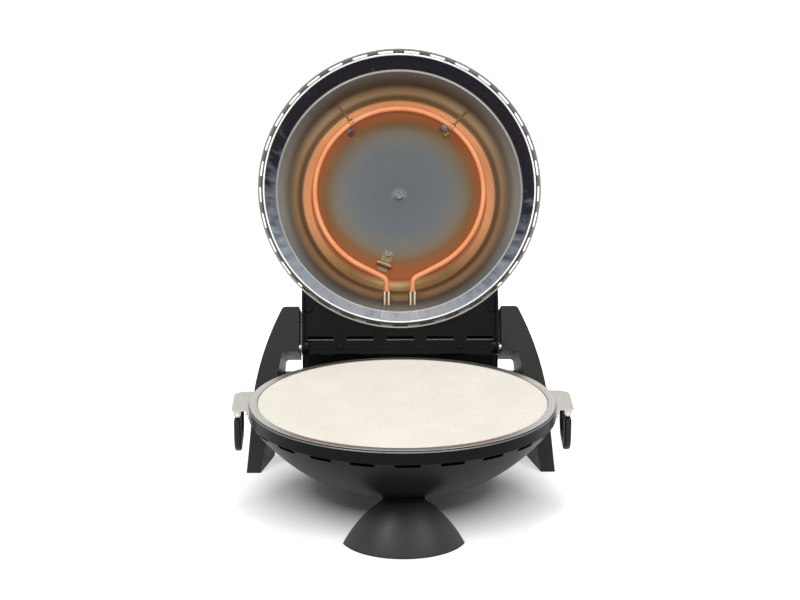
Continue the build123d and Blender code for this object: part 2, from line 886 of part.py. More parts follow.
with BuildPart() as right_handle_bracket:
    with BuildSketch(level(z=plate_top - plate_sheet)) as plate:
        with Locations((plate_half_width / 2, (plate_front + plate_back) / 2)):
            Rectangle(plate_half_width, plate_back - plate_front)
        back_corner = plate.vertices().sort_by_distance(Vector(plate_half_width, plate_back))[0]
        fillet(back_corner, plate_corner)
        Circle(bowl_radius + plate_gap, mode=Mode.SUBTRACT)
    extrude(amount=plate_sheet)
    with BuildSketch(level(z=plate_skirt)):
        Circle(skirt_outside)
        Circle(bowl_radius + plate_gap, mode=Mode.SUBTRACT)
        with Locations((plate_half_width / 2, (plate_front + plate_back) / 2)):
            Rectangle(plate_half_width, plate_back - plate_front, mode=Mode.INTERSECT)
    extrude(amount=plate_top - plate_sheet - plate_skirt)
    for y in ear_spots:
        with BuildSketch(upright(handle_pin_x, y, handle_pin_z)):
            Circle(ear_radius)
            with Locations((0, (plate_top - plate_sheet - handle_pin_z) / 2)):
                Rectangle(2 * ear_radius, plate_top - plate_sheet - handle_pin_z)
        extrude(amount=-plate_sheet)
    split(bisect_by=level(z=plate_top), keep=Keep.BOTTOM)
    add(right_handle_pin.part, mode=Mode.SUBTRACT)
    add(handle_rivets.part, mode=Mode.SUBTRACT)

# the grip hangs on the pin by two necks, between the ears of the bracket
neck_fronts = (
    ear_spots[0] + plate_sheet + grip_neck_gap,
    ear_spots[1] - grip_neck_gap - grip_neck,
)
neck_drop = handle_pin_z - grip_top + grip_edge
with BuildPart() as right_grip:
    with BuildSketch(sideways(handle_pin_x - grip_thickness / 2)) as grip:
        with BuildLine():
            Polyline(
                (grip_front, grip_top),
                (grip_front, grip_foot),
                (grip_back, grip_foot + grip_rise),
                (grip_back, grip_top),
                (grip_back - grip_leg, grip_top),
                (grip_back - grip_leg, grip_foot + grip_bar + grip_rise / 2),
                (grip_front + grip_leg, grip_foot + grip_bar),
                (grip_front + grip_leg, grip_top),
                close=True,
            )
        make_face()
        lower_front = grip.vertices().sort_by_distance(Vector(grip_front, grip_foot))[0]
        lower_back = grip.vertices().sort_by_distance(Vector(grip_back, grip_foot + grip_rise))[0]
        fillet([lower_front, lower_back], grip_corner)
        inner_front = grip.vertices().sort_by_distance(Vector(grip_front + grip_leg, grip_foot + grip_bar))[0]
        inner_back = grip.vertices().sort_by_distance(Vector(grip_back - grip_leg, grip_foot + grip_bar))[0]
        fillet([inner_front, inner_back], grip_inner_corner)
    extrude(amount=grip_thickness)
    rims = right_grip.faces().sort_by(Axis.X)
    fillet(rims[0].edges() + rims[-1].edges(), grip_edge)
    for y in neck_fronts:
        with BuildSketch(upright(handle_pin_x, y, handle_pin_z)):
            Circle(grip_eye_radius)
            with Locations((0, -neck_drop / 2)):
                Rectangle(grip_neck_width, neck_drop)
        extrude(amount=-grip_neck)
    with BuildSketch(upright(handle_pin_x, grip_front, handle_pin_z)):
        Circle(handle_pin_radius + handle_clearance)
    extrude(amount=grip_front - grip_back, mode=Mode.SUBTRACT)

left_handle_pin = mirrored(right_handle_pin)
left_handle_bracket = mirrored(right_handle_bracket)
left_grip = mirrored(right_grip)

# ---------------------------------------------------------------- lid shell


def lid_body(inset, foot=0.0):
    """The outer form of the lid as a filled solid above its rim, shrunk by an inset."""
    side = lid_side_radius - inset
    middle = radians((lid_side_start + lid_side_end) / 2)
    start = radians(lid_side_start)
    end = radians(lid_side_end)
    shoulder = (side_centre_radius + side * cos(start), side_centre_depth + side * sin(start))
    halfway = (side_centre_radius + side * cos(middle), side_centre_depth + side * sin(middle))
    brow = (side_centre_radius + side * cos(end), side_centre_depth + side * sin(end))
    crown = crown_radius - inset
    near_top = radians(lid_side_end / 2 + 45)
    crown_middle = (crown * cos(near_top), crown_centre_depth + crown * sin(near_top))
    crown_top = (0, crown_centre_depth + crown)
    rim = rim_radius - inset
    with BuildPart() as body:
        with BuildSketch(lid_section):
            with BuildLine():
                Polyline(crown_top, (0, foot), (rim, foot), (rim, lid_bead - inset / 2), shoulder)
                ThreePointArc(shoulder, halfway, brow)
                ThreePointArc(brow, crown_middle, crown_top)
            make_face()
        revolve(axis=lid_axis)
    return body


def lid_seat(turn, rise, depth):
    """A plane square to the side of the lid, facing inward, a depth below its outer surface."""
    radius = side_centre_radius + lid_side_radius * cos(radians(rise))
    height = lid_rim + side_centre_depth + lid_side_radius * sin(radians(rise))
    return on_lid(flipped(radial_plane(turn, radius, height, rise).offset(-depth)))


lid_solid = lid_body(0)
lid_inside = lid_body(lid_wall, -lid_wall)
screw_depth = lid_wall + lid_seat_clearance
handle_seats = [lid_seat(turn, handle_turn, screw_depth) for turn in handle_screw_turns]
box_seats = [lid_seat(turn, box_screw_rise, screw_depth) for turn in box_screw_turns]
lid_handle_screws = screws_at(handle_seats, lid_screw_length)
box_mount_screws = screws_at(box_seats, lid_screw_length)

# slots all the way round the cone between the rim and the shoulder
slot_slope = atan((rim_radius - lid_shoulder_radius) / (lid_shoulder_depth - lid_bead))
slot_radius = (rim_radius + lid_shoulder_radius) / 2 + lid_slot_shift * sin(slot_slope)
slot_height = lid_rim + (lid_bead + lid_shoulder_depth) / 2 - lid_slot_shift * cos(slot_slope)
slot_tilt = slot_slope * 180 / pi
lid_slot_turns = [270 + (i + 0.5) * 360 / lid_slot_count for i in range(lid_slot_count)]

with BuildPart() as lid_shell:
    add(lid_solid.part)
    add(lid_inside.part, mode=Mode.SUBTRACT)
    for turn in lid_slot_turns:
        with BuildSketch(on_lid(radial_plane(turn, slot_radius, slot_height, slot_tilt))):
            SlotOverall(lid_slot_length, lid_slot_width)
        extrude(amount=4 * lid_wall, both=True, mode=Mode.SUBTRACT)
    add(lid_handle_screws.part, mode=Mode.SUBTRACT)
    add(box_mount_screws.part, mode=Mode.SUBTRACT)

# ---------------------------------------------------------------- upper element and its clips

upper_element_plane = on_lid(level(z=lid_rim + upper_element_depth))
upper_element_end = ferrule_last + tube_tail
upper_heating_element = element_on(upper_element_plane, upper_element_end, upper_element_dip)
upper_element_ferrules = ferrules_on(
    upper_element_plane, upper_element_end, upper_element_dip, ferrule_first, ferrule_last
)
upper_element_terminals = terminals_on(upper_element_plane, upper_element_end, upper_element_dip)
upper_ferrule_planes = [
    tube_end_plane(upper_element_plane, hand, upper_element_end, upper_element_dip, ferrule_first)
    for hand in (-1, 1)
]

# each clip is a wire from the wall of the pan that ends in a loop round the tube
with BuildPart() as element_clips:
    for turn in clip_turns:
        loop_plane = radial_plane(turn, element_radius, lid_rim + upper_element_depth)
        wall_spot = radial_plane(turn, clip_wall_radius, lid_rim + clip_wall_depth).origin
        wire_plane = on_lid(Plane(origin=loop_plane.origin, z_dir=wall_spot - loop_plane.origin))
        with BuildSketch(wire_plane):
            Circle(clip_wire)
        extrude(amount=(wall_spot - loop_plane.origin).length)
        tangent_plane = on_lid(Plane(origin=loop_plane.origin, z_dir=loop_plane.x_dir))
        with BuildSketch(tangent_plane):
            Circle(element_tube + clip_loop_gap + clip_loop_wall)
        extrude(amount=clip_loop_length / 2, both=True)
        with BuildSketch(tangent_plane):
            Circle(element_tube + clip_loop_gap)
        extrude(amount=clip_loop_length, both=True, mode=Mode.SUBTRACT)

# ---------------------------------------------------------------- pan inside the lid

pan_floor_height = lid_rim + lid_pan_depth
lid_screw_seats = [flipped(level(x, y, pan_floor_height)) for x, y in lid_post_spots]


def strap_clip(spot, turn, length, width, reach, radius):
    """A strap under a screw on the floor of the pan, with a raised loop at some reach from the screw."""
    a = radians(turn)
    across = Vector(-sin(a), cos(a), 0)
    along = Vector(cos(a), sin(a), 0)
    corner = Vector(spot[0], spot[1], pan_floor_height)
    side_plane = on_lid(Plane(origin=corner - across * (width / 2), x_dir=along, z_dir=across))
    bump = radius + strap_sheet
    with BuildPart() as strap:
        with BuildSketch(side_plane):
            with Locations(((length - strap_tail) / 2, strap_sheet / 2)):
                Rectangle(length + strap_tail, strap_sheet)
            with Locations((reach, radius)):
                Circle(bump)
            with Locations((reach, radius / 2)):
                Rectangle(2 * bump, radius)
            with Locations((reach, radius)):
                Circle(radius, mode=Mode.SUBTRACT)
            with Locations((reach, radius / 2)):
                Rectangle(2 * radius, radius, mode=Mode.SUBTRACT)
            with Locations((0, -bump)):
                Rectangle(4 * length, 2 * bump, mode=Mode.SUBTRACT)
        extrude(amount=width)
    return strap


lid_pan_seats = []
for i, seat in enumerate(lid_screw_seats):
    under_strap = i in (1, 2)
    lid_pan_seats.append(on_lid(seat.offset(strap_sheet if under_strap else 0)))
lid_pan_screws = screws_at(lid_pan_seats, lid_pan_screw_length)

with BuildPart() as leaf_clip:
    add(strap_clip(lid_post_spots[1], leaf_turn, leaf_length, leaf_width, leaf_reach, leaf_radius).part)
    add(lid_pan_screws.part, mode=Mode.SUBTRACT)

with BuildPart() as sensor_clip:
    add(strap_clip(
        lid_post_spots[2], sensor_turn, sensor_strap_length, sensor_strap_width, sensor_reach, sensor_radius
    ).part)
    add(lid_pan_screws.part, mode=Mode.SUBTRACT)

sensor_way = radians(sensor_turn)
sensor_across = Vector(-sin(sensor_way), cos(sensor_way), 0)
sensor_spot = Vector(
    lid_post_spots[2][0] + sensor_reach * cos(sensor_way),
    lid_post_spots[2][1] + sensor_reach * sin(sensor_way),
    pan_floor_height - sensor_radius,
)
with BuildPart() as sensor_bulb:
    with BuildSketch(on_lid(Plane(origin=sensor_spot, z_dir=sensor_across))):
        Circle(sensor_radius)
    extrude(amount=sensor_length / 2, both=True)
    fillet(sensor_bulb.edges().filter_by(GeomType.CIRCLE), 1)

# the wall bulges a little between its step and the floor, in short straight bands
step = (lid_pan_step_radius, lid_pan_step_depth)
bend = (lid_pan_bend_radius, lid_pan_bend_depth)
floor = (lid_pan_floor_radius, lid_pan_depth)
wall_arc = Edge.make_three_point_arc(step, bend, floor)
wall_points = [wall_arc @ (i / lid_pan_bands) for i in range(lid_pan_bands + 1)]

with BuildPart() as lid_pan:
    with BuildSketch(lid_section):
        with BuildLine():
            lip = ((lid_pan_radius + lid_pan_lip, 0), (lid_pan_radius, 0))
            Polyline(*lip, *wall_points, (0, lid_pan_depth))
            offset(amount=pan_sheet, side=Side.RIGHT)
        make_face()
    revolve(axis=lid_axis)
    add(posts_at(upper_ferrule_planes, ferrule_radius, ferrule_last - ferrule_first).part, mode=Mode.SUBTRACT)
    add(element_clips.part, mode=Mode.SUBTRACT)
    add(lid_pan_screws.part, mode=Mode.SUBTRACT)

# posts that hold the pan to the inside of the lid's crown
post_seats = [on_lid(level(x, y, pan_floor_height + pan_sheet)) for x, y in lid_post_spots]
with BuildPart() as lid_pan_posts:
    add(posts_at(post_seats, lid_post_radius, lid_pan_depth).part)
    add(lid_inside.part, mode=Mode.INTERSECT)
    add(lid_pan_screws.part, mode=Mode.SUBTRACT)

# ---------------------------------------------------------------- handle on the lid

handle_rise = radians(handle_turn)
handle_foot_radius = side_centre_radius + lid_side_radius * cos(handle_rise)
handle_foot_height = lid_rim + side_centre_depth + lid_side_radius * sin(handle_rise)
handle_plane = on_lid(Plane(
    origin=(0, -handle_foot_radius, handle_foot_height),
    x_dir=(1, 0, 0),
    z_dir=(0, -sin(handle_rise), -cos(handle_rise)),
))

with BuildPart() as lid_handle:
    with BuildLine(handle_plane) as handle_path:
        FilletPolyline(
            (-handle_half_width, -handle_root),
            (-handle_half_width, handle_reach),
            (handle_half_width, handle_reach),
            (handle_half_width, -handle_root),
            radius=handle_corner,
        )
    handle_wire = handle_path.wire()
    with BuildSketch(Plane(origin=handle_wire @ 0, x_dir=handle_plane.z_dir, z_dir=handle_wire % 0)):
        RectangleRounded(handle_width, handle_thickness, handle_edge)
    sweep(path=handle_wire)
    add(lid_solid.part, mode=Mode.SUBTRACT)
    add(lid_handle_screws.part, mode=Mode.SUBTRACT)

# ---------------------------------------------------------------- control box behind the lid


def box_block(inset, back_inset, foot, top):
    """A block within the walls of the control box as a filled solid, swung with the lid."""
    front = box_front + inset
    back = box_back - back_inset
    with BuildPart() as block:
        with BuildSketch(on_lid(level(y=(front + back) / 2, z=foot))):
            Rectangle(2 * (box_half_width - inset), back - front)
        extrude(amount=top - foot)
    return block


def on_both_sides(x):
    """Planes that face outward at the hinge, a distance to each side of the middle, swung with the lid."""
    right = sideways(x, hinge_y, hinge_z)
    left = Plane(origin=(-x, hinge_y, hinge_z), x_dir=(0, 1, 0), z_dir=(-1, 0, 0))
    return [on_lid(left), on_lid(right)]


base_post_marks = []
for x, y in (base_side_post, base_back_post):
    base_post_marks += [(-x, y), (x, y)]
base_screw_seats = [on_lid(flipped(level(x, y, box_foot))) for x, y in base_post_marks]
base_post_seats = [on_lid(level(x, y, box_foot + base_sheet)) for x, y in base_post_marks]
control_box_screws = screws_at(base_screw_seats, base_screw_length)

with BuildPart() as box_cavity:
    add(box_block(box_wall, box_back_wall, box_foot, box_top - box_wall).part)
    add(lid_body(-dome_clearance - box_wall).part, mode=Mode.SUBTRACT)

flange_drop = hinge_z - box_foot
flange_reach = hinge_y - flange_front
lamp_spot = level(0, knob_y, box_top)

with BuildPart() as control_box:
    add(box_block(0, 0, box_foot, box_top).part)
    box_lid = control_box.faces().sort_by_distance(on_lid(lamp_spot).origin)[0]
    fillet(box_lid.edges(), box_corner)
    add(lid_body(-dome_clearance).part, mode=Mode.SUBTRACT)
    add(box_cavity.part, mode=Mode.SUBTRACT)
    for plane in on_both_sides(box_half_width - box_wall):
        with BuildSketch(plane):
            hand = plane.y_dir.dot(lid_section.y_dir)
            with BuildLine():
                Polyline(
                    (0, -hand * flange_radius),
                    (-flange_reach + flange_drop, -hand * flange_radius),
                    (-flange_reach, -hand * flange_drop),
                    (-flange_reach, 0),
                    (0, 0),
                    close=True,
                )
            make_face()
            Circle(flange_radius)
        extrude(amount=box_wall)
        with BuildSketch(plane):
            Circle(flange_radius)
        extrude(amount=-hinge_boss_length)
    add(lid_body(-dome_clearance).part, mode=Mode.SUBTRACT)
    add(posts_at(base_post_seats, base_post_radius, base_post_height).part)
    for plane in on_both_sides(hinge_boss_start):
        with BuildSketch(plane):
            Circle(bush_radius)
        extrude(amount=2 * hinge_boss_length, mode=Mode.SUBTRACT)
    for x, radius in ((-knob_x, shaft_hole), (0, lamp_radius), (knob_x, shaft_hole)):
        with BuildSketch(on_lid(level(x, knob_y, box_top))):
            Circle(radius)
        extrude(amount=-2 * box_wall, mode=Mode.SUBTRACT)
    add(control_box_screws.part, mode=Mode.SUBTRACT)
    add(box_mount_screws.part, mode=Mode.SUBTRACT)

with BuildPart() as hinge_bushes:
    for plane in on_both_sides(hinge_boss_start):
        with BuildSketch(plane):
            Circle(bush_radius)
            Circle(bore_radius, mode=Mode.SUBTRACT)
        extrude(amount=hinge_bush_end - hinge_boss_start)

base_half_width = box_half_width - box_wall - fit_clearance
base_back = box_back - box_back_wall - fit_clearance
louvre_marks = [(louvre_pitch * (i - (louvre_count - 1) / 2), louvre_y) for i in range(louvre_count)]
with BuildPart() as control_box_base:
    with BuildSketch(on_lid(level(z=box_foot))):
        with Locations((0, (box_front + box_wall + base_back) / 2)):
            Rectangle(2 * base_half_width, base_back - box_front - box_wall)
        Circle(base_front_radius, mode=Mode.SUBTRACT)
        notch_width = base_half_width - base_notch_x
        for hand in (-1, 1):
            with Locations((hand * (base_half_width + base_notch_x) / 2, (base_back + base_notch_y) / 2)):
                Rectangle(notch_width, base_back - base_notch_y, mode=Mode.SUBTRACT)
        with Locations(*louvre_marks):
            SlotOverall(louvre_length, louvre_width, mode=Mode.SUBTRACT)
    extrude(amount=base_sheet)
    add(control_box_screws.part, mode=Mode.SUBTRACT)

# ---------------------------------------------------------------- thermostat, timer, knobs and lamp

control_top = box_top - box_wall


def control_at(x):
    """The body of a control under the top wall of the box, bored for its shaft."""
    with BuildPart() as body:
        with BuildSketch(on_lid(level(x, knob_y, control_top))):
            RectangleRounded(control_width, control_length, 3)
        extrude(amount=-control_height)
        with BuildSketch(on_lid(level(x, knob_y, control_top))):
            Circle(shaft_radius + running_clearance)
        extrude(amount=-shaft_depth - running_clearance, mode=Mode.SUBTRACT)
    return body


def shaft_at(x):
    """The shaft from inside a control to inside its knob."""
    with BuildPart() as shaft:
        with BuildSketch(on_lid(level(x, knob_y, control_top - shaft_depth))):
            Circle(shaft_radius)
        extrude(amount=shaft_depth + box_wall + knob_lift + knob_bore)
    return shaft


def knob_at(x):
    """A round knob with grips round its side and a raised pointer."""
    foot = box_top + knob_lift
    with BuildPart() as knob:
        with BuildSketch(on_lid(level(x, knob_y, foot))):
            Circle(knob_radius)
        extrude(amount=knob_height)
        face = knob.faces().sort_by_distance(on_lid(level(x, knob_y, foot + knob_height)).origin)[0]
        fillet(face.edges(), knob_edge)
        with BuildSketch(on_lid(level(x, knob_y, foot))):
            with PolarLocations(knob_radius + knob_grip_radius / 2, knob_grips):
                Circle(knob_grip_radius)
        extrude(amount=knob_height, mode=Mode.SUBTRACT)
        with BuildSketch(on_lid(level(x, knob_y + knob_radius / 2, foot + knob_height))):
            RectangleRounded(knob_pointer_width, knob_pointer_length, 1)
        extrude(amount=knob_pointer_height)
        with BuildSketch(on_lid(level(x, knob_y, foot))):
            Circle(shaft_radius)
        extrude(amount=knob_bore, mode=Mode.SUBTRACT)
    return knob


thermostat_body = control_at(-knob_x)
thermostat_shaft = shaft_at(-knob_x)
thermostat_knob = knob_at(-knob_x)
timer_body = control_at(knob_x)
timer_shaft = shaft_at(knob_x)
timer_knob = knob_at(knob_x)

# the timer rings a small bell that hangs under it on a stud
bell_plane = on_lid(level(knob_x, knob_y, control_top - control_height))
with BuildPart() as timer_bell:
    with BuildSketch(bell_plane):
        Circle(shaft_radius)
    extrude(amount=-bell_stud)
    with BuildSketch(bell_plane.offset(-bell_stud)):
        Circle(bell_radius)
    extrude(amount=-bell_height)
    with BuildSketch(bell_plane.offset(-bell_stud - bell_wall)):
        Circle(bell_radius - bell_wall)
    extrude(amount=-bell_height, mode=Mode.SUBTRACT)

with BuildPart() as pilot_lamp:
    with BuildSketch(on_lid(lamp_spot)):
        Circle(lamp_flange)
    extrude(amount=lamp_rim)
    with BuildSketch(on_lid(lamp_spot.offset(-lamp_depth))):
        Circle(lamp_radius)
    extrude(amount=lamp_depth + lamp_height)
    lens = pilot_lamp.faces().sort_by_distance(on_lid(lamp_spot.offset(2 * lamp_height)).origin)[0]
    fillet(lens.edges(), lamp_edge)

with BuildPart() as upper_terminal_block:
    with BuildSketch(on_lid(level(0, box_back - box_back_wall - terminal_width / 2, upper_terminal_z))):
        RectangleRounded(terminal_length, terminal_width, 2)
    extrude(amount=terminal_height)

# ---------------------------------------------------------------- export

pieces = {
    "refractory_stone": refractory_stone,
    "lower_pan": lower_pan,
    "pan_spacers": pan_spacers,
    "pan_screws": pan_screws,
    "lower_bowl": lower_bowl,
    "lower_heating_element": lower_heating_element,
    "lower_element_ferrules": lower_element_ferrules,
    "lower_element_terminals": lower_element_terminals,
    "lower_element_cradles": lower_element_cradles,
    "front_foot": front_foot,
    "front_foot_pad": front_foot_pad,
    "front_foot_screws": foot_screws,
    "left_leg": left_leg,
    "right_leg": right_leg,
    "leg_pads": leg_pads,
    "leg_screws": leg_screws,
    "hinge_pins": hinge_pins,
    "rear_bridge": rear_bridge,
    "bridge_screws": bridge_screws,
    "bridge_cover": bridge_cover,
    "bridge_cover_screws": bridge_cover_screws,
    "cord_gland": cord_gland,
    "lower_terminal_block": lower_terminal_block,
    "stop_bumpers": stop_bumpers,
    "left_handle_bracket": left_handle_bracket,
    "right_handle_bracket": right_handle_bracket,
    "left_handle_pin": left_handle_pin,
    "right_handle_pin": right_handle_pin,
    "handle_rivets": handle_rivets,
    "left_grip": left_grip,
    "right_grip": right_grip,
    "lid_shell": lid_shell,
    "lid_pan": lid_pan,
    "lid_pan_posts": lid_pan_posts,
    "lid_pan_screws": lid_pan_screws,
    "upper_heating_element": upper_heating_element,
    "upper_element_ferrules": upper_element_ferrules,
    "upper_element_terminals": upper_element_terminals,
    "element_clips": element_clips,
    "leaf_clip": leaf_clip,
    "sensor_clip": sensor_clip,
    "sensor_bulb": sensor_bulb,
    "lid_handle": lid_handle,
    "lid_handle_screws": lid_handle_screws,
    "control_box": control_box,
    "control_box_base": control_box_base,
    "control_box_screws": control_box_screws,
    "box_mount_screws": box_mount_screws,
    "hinge_bushes": hinge_bushes,
    "thermostat_body": thermostat_body,
    "thermostat_shaft": thermostat_shaft,
    "thermostat_knob": thermostat_knob,
    "timer_body": timer_body,
    "timer_shaft": timer_shaft,
    "timer_knob": timer_knob,
    "timer_bell": timer_bell,
    "pilot_lamp": pilot_lamp,
    "upper_terminal_block": upper_terminal_block,
}

os.makedirs("parts", exist_ok=True)
for name, piece in pieces.items():
    piece.part.label = name
    export_step(piece.part, f"parts/{name}.step")
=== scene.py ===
# %% [markdown]
# # Electric pizza maker
# The object is a round countertop oven: a black steel bowl with a fired-clay stone in it, and a domed lid
# that stands open behind it on two plastic legs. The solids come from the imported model, already in place.
# This script gives them their finishes and adds the surfaces that need finer shape than the solids have.

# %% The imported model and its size
from math import cos, pi, radians, sin

import bmesh
import bpy
import numpy as np
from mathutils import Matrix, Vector


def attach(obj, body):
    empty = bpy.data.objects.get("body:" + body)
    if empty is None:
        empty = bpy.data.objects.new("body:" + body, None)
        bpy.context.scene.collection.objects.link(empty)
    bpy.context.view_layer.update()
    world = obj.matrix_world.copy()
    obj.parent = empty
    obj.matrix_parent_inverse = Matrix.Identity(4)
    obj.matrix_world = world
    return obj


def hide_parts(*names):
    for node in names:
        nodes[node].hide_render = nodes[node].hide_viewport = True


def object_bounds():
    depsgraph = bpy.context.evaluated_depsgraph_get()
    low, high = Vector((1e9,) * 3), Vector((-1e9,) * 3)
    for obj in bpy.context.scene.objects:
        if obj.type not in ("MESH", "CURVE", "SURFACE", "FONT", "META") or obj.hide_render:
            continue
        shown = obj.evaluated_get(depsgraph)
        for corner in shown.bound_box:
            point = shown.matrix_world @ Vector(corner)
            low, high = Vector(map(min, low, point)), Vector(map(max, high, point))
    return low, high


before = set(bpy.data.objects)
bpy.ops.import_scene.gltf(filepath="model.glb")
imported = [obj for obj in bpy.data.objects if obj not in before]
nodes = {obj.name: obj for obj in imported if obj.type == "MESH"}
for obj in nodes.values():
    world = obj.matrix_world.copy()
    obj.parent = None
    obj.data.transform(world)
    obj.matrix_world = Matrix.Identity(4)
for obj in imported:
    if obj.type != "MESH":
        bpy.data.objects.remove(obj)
solid_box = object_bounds()

# %% [markdown]
# ## Where the lid is
# Every measure of the lid is easiest to say with the lid shut: a radius from its middle and a depth above
# its rim. The lid is stored open, so a small function swings such points back about the hinge.

# %% Points on the open lid
MM = 0.001
HINGE_Y, HINGE_Z = 185.3 * MM, 129.8 * MM
OPEN_ANGLE = radians(112.55)
LID_RIM = 126.4 * MM


def swing_open(points):
    """Turns points of the shut lid about the hinge line, by the angle at which the lid rests open."""
    y = points[..., 1] - HINGE_Y
    z = points[..., 2] - HINGE_Z
    c, s = cos(OPEN_ANGLE), sin(OPEN_ANGLE)
    turned = np.stack([points[..., 0], HINGE_Y + y * c + z * s, HINGE_Z - y * s + z * c], -1)
    return turned


lid_middle = swing_open(np.array([0.0, 0.0, LID_RIM]))
lid_inward = swing_open(np.array([0.0, 0.0, LID_RIM + 1.0])) - lid_middle
print("middle of the lid's rim", lid_middle.round(4), "axis", lid_inward.round(4))

# %% [markdown]
# ## Building a material
# A material is a small graph of nodes. One function adds a node, sets it up and links what is given to its
# inputs, so a finish reads as a list of what it is made from. Colours are written as they look on a screen,
# and one function turns them into the linear values that the renderer works with.

# %% Two helpers for materials


def colour(hex_text):
    """A screen colour such as #C8672E as linear red, green, blue and full opacity."""
    channels = np.array([int(hex_text[i : i + 2], 16) for i in (1, 3, 5)]) / 255
    linear = np.where(channels <= 0.04045, channels / 12.92, ((channels + 0.055) / 1.055) ** 2.4)
    return (*linear, 1.0)


def add(tree, kind, inputs=None, **settings):
    """Adds one node, with its settings, and fills its inputs with values or with links."""
    node = tree.nodes.new(kind)
    for name, value in settings.items():
        setattr(node, name, value)
    for name, value in (inputs or {}).items():
        if isinstance(value, bpy.types.NodeSocket):
            tree.links.new(value, node.inputs[name])
        else:
            node.inputs[name].default_value = value
    return node


def new_material(name, **shader_values):
    """An empty material with a Principled shader, and its tree and shader for the caller to fill."""
    material = bpy.data.materials.new(name)
    material.use_nodes = True
    tree = material.node_tree
    shader = tree.nodes["Principled BSDF"]
    for key, value in shader_values.items():
        shader.inputs[key.replace("_", " ")].default_value = value
    return material, tree, shader


def blend_colours(tree, share, first, second):
    """Mixes two colours, each a hex text or a link, by a share from 0 to 1."""
    first = colour(first) if isinstance(first, str) else first
    second = colour(second) if isinstance(second, str) else second
    mix = add(tree, "ShaderNodeMix", {0: share, 6: first, 7: second}, data_type="RGBA")
    return mix.outputs[2]


def grain(tree, size_mm, detail=2.0, stretch=(1.0, 1.0, 1.0), lean=0.0):
    """Noise on Object coordinates whose blotches are about size_mm across, stretched along the axes, and
    leaning by an angle in degrees as seen from the front."""
    place = add(tree, "ShaderNodeTexCoord").outputs["Object"]
    leaning = add(tree, "ShaderNodeMapping", {"Vector": place, "Rotation": (0.0, radians(lean), 0.0)})
    mapped = add(tree, "ShaderNodeMapping", {"Vector": leaning.outputs[0], "Scale": stretch})
    noise = add(tree, "ShaderNodeTexNoise", {"Vector": mapped.outputs[0], "Scale": 1 / (size_mm * MM), "Detail": detail})
    return noise.outputs[0]


def between(tree, value, low, high, out_low=0.0, out_high=1.0):
    """Carries a value from one range to another, held at both ends."""
    inputs = {"Value": value, "From Min": low, "From Max": high, "To Min": out_low, "To Max": out_high}
    return add(tree, "ShaderNodeMapRange", inputs).outputs[0]


def bump(tree, height, depth_mm, normal=None):
    """Raises the surface by a height from 0 to 1 of a depth given in millimetres."""
    inputs = {"Height": height, "Distance": depth_mm * MM, "Strength": 1.0}
    if normal is not None:
        inputs["Normal"] = normal
    return add(tree, "ShaderNodeBump", inputs).outputs[0]


# %% [markdown]
# ## Black moulded plastic
# The legs, the bridge, the foot, the grips and the control box are a glass-filled nylon: dull black, with a
# fine spark-eroded grain of about 0.4 mm that greys the highlights. The grain is drawn at 0.9 mm so that it shows.

# %% Grained black nylon


def black_nylon(name, base, rubbed, roughness, grain_mm=0.9, depth_mm=0.03, gloss=0.4):
    """Moulded black plastic: grain in the relief, slow patches in the gloss and a slightly greyer rubbed tone."""
    material, tree, shader = new_material(name, Roughness=roughness, IOR=1.5, Specular_IOR_Level=gloss)
    fine = grain(tree, grain_mm, detail=1.0)
    patches = grain(tree, 38.0, detail=3.0)
    tree.links.new(blend_colours(tree, between(tree, patches, 0.35, 0.7), base, rubbed), shader.inputs["Base Color"])
    tree.links.new(between(tree, patches, 0.3, 0.7, roughness - 0.05, roughness + 0.06), shader.inputs["Roughness"])
    tree.links.new(bump(tree, fine, depth_mm), shader.inputs["Normal"])
    return material


leg_nylon = black_nylon("black_nylon_legs", "#222220", "#2A2A28", 0.42, gloss=0.3)
foot_nylon = black_nylon("black_nylon_foot", "#2A2B28", "#333431", 0.40, 0.8, 0.02, 0.4)
foot_tree = foot_nylon.node_tree
foot_shader = foot_tree.nodes["Principled BSDF"]
foot_tone = foot_shader.inputs["Base Color"].links[0].from_socket
up = add(foot_tree, "ShaderNodeSeparateXYZ", {0: add(foot_tree, "ShaderNodeTexCoord").outputs["Object"]}).outputs[2]
# The foot's colour goes to near black from 22 to 56 mm above the table: painted shade under the bowl.
neck_painted_shade = between(foot_tree, up, 0.022, 0.056, 0.0, 0.92)
foot_tree.links.new(blend_colours(foot_tree, neck_painted_shade, foot_tone, "#060606"), foot_shader.inputs["Base Color"])
box_nylon = black_nylon("black_nylon_box", "#080808", "#0D0D0C", 0.38, gloss=0.12)
# The lips are a lighter grey than the box's black nylon: a painted highlight along them.
lip_highlight_nylon = black_nylon("louvre_lips_painted_highlight", "#5E5E5A", "#6A6A66", 0.25, 0.7, 0.01, 0.7)
grip_nylon = black_nylon("black_nylon_grips", "#101010", "#181818", 0.30, 0.7, 0.02, 0.3)
knob_nylon = black_nylon("black_nylon_knobs", "#181818", "#202020", 0.30, 0.7, 0.015)
case_phenolic = black_nylon("black_phenolic", "#1A1A19", "#232321", 0.28, 1.2, 0.01)

# %% [markdown]
# ## Painted steel bowl
# The bowl is deep-drawn steel with baked black enamel paint. Paint flows before it bakes, so it has a very
# faint, wide orange peel of about 2 mm, and a smoother highlight than the plastic.

# %% Baked black paint
bowl_paint, tree, shader = new_material("baked_black_paint", Roughness=0.34, IOR=1.5, Specular_IOR_Level=0.12)
flow = grain(tree, 2.2, detail=1.0)
cloud = grain(tree, 60.0, detail=2.0)
up = add(tree, "ShaderNodeSeparateXYZ", {0: add(tree, "ShaderNodeTexCoord").outputs["Object"]}).outputs[2]
body_tone = blend_colours(tree, between(tree, cloud, 0.3, 0.7), "#131312", "#191917")
# From 108.5 to 110 mm up the colour goes to near black: painted shade on the bowl's top band.
tree.links.new(blend_colours(tree, between(tree, up, 0.1085, 0.1100), body_tone, "#080808"), shader.inputs["Base Color"])
tree.links.new(bump(tree, flow, 0.02), shader.inputs["Normal"])

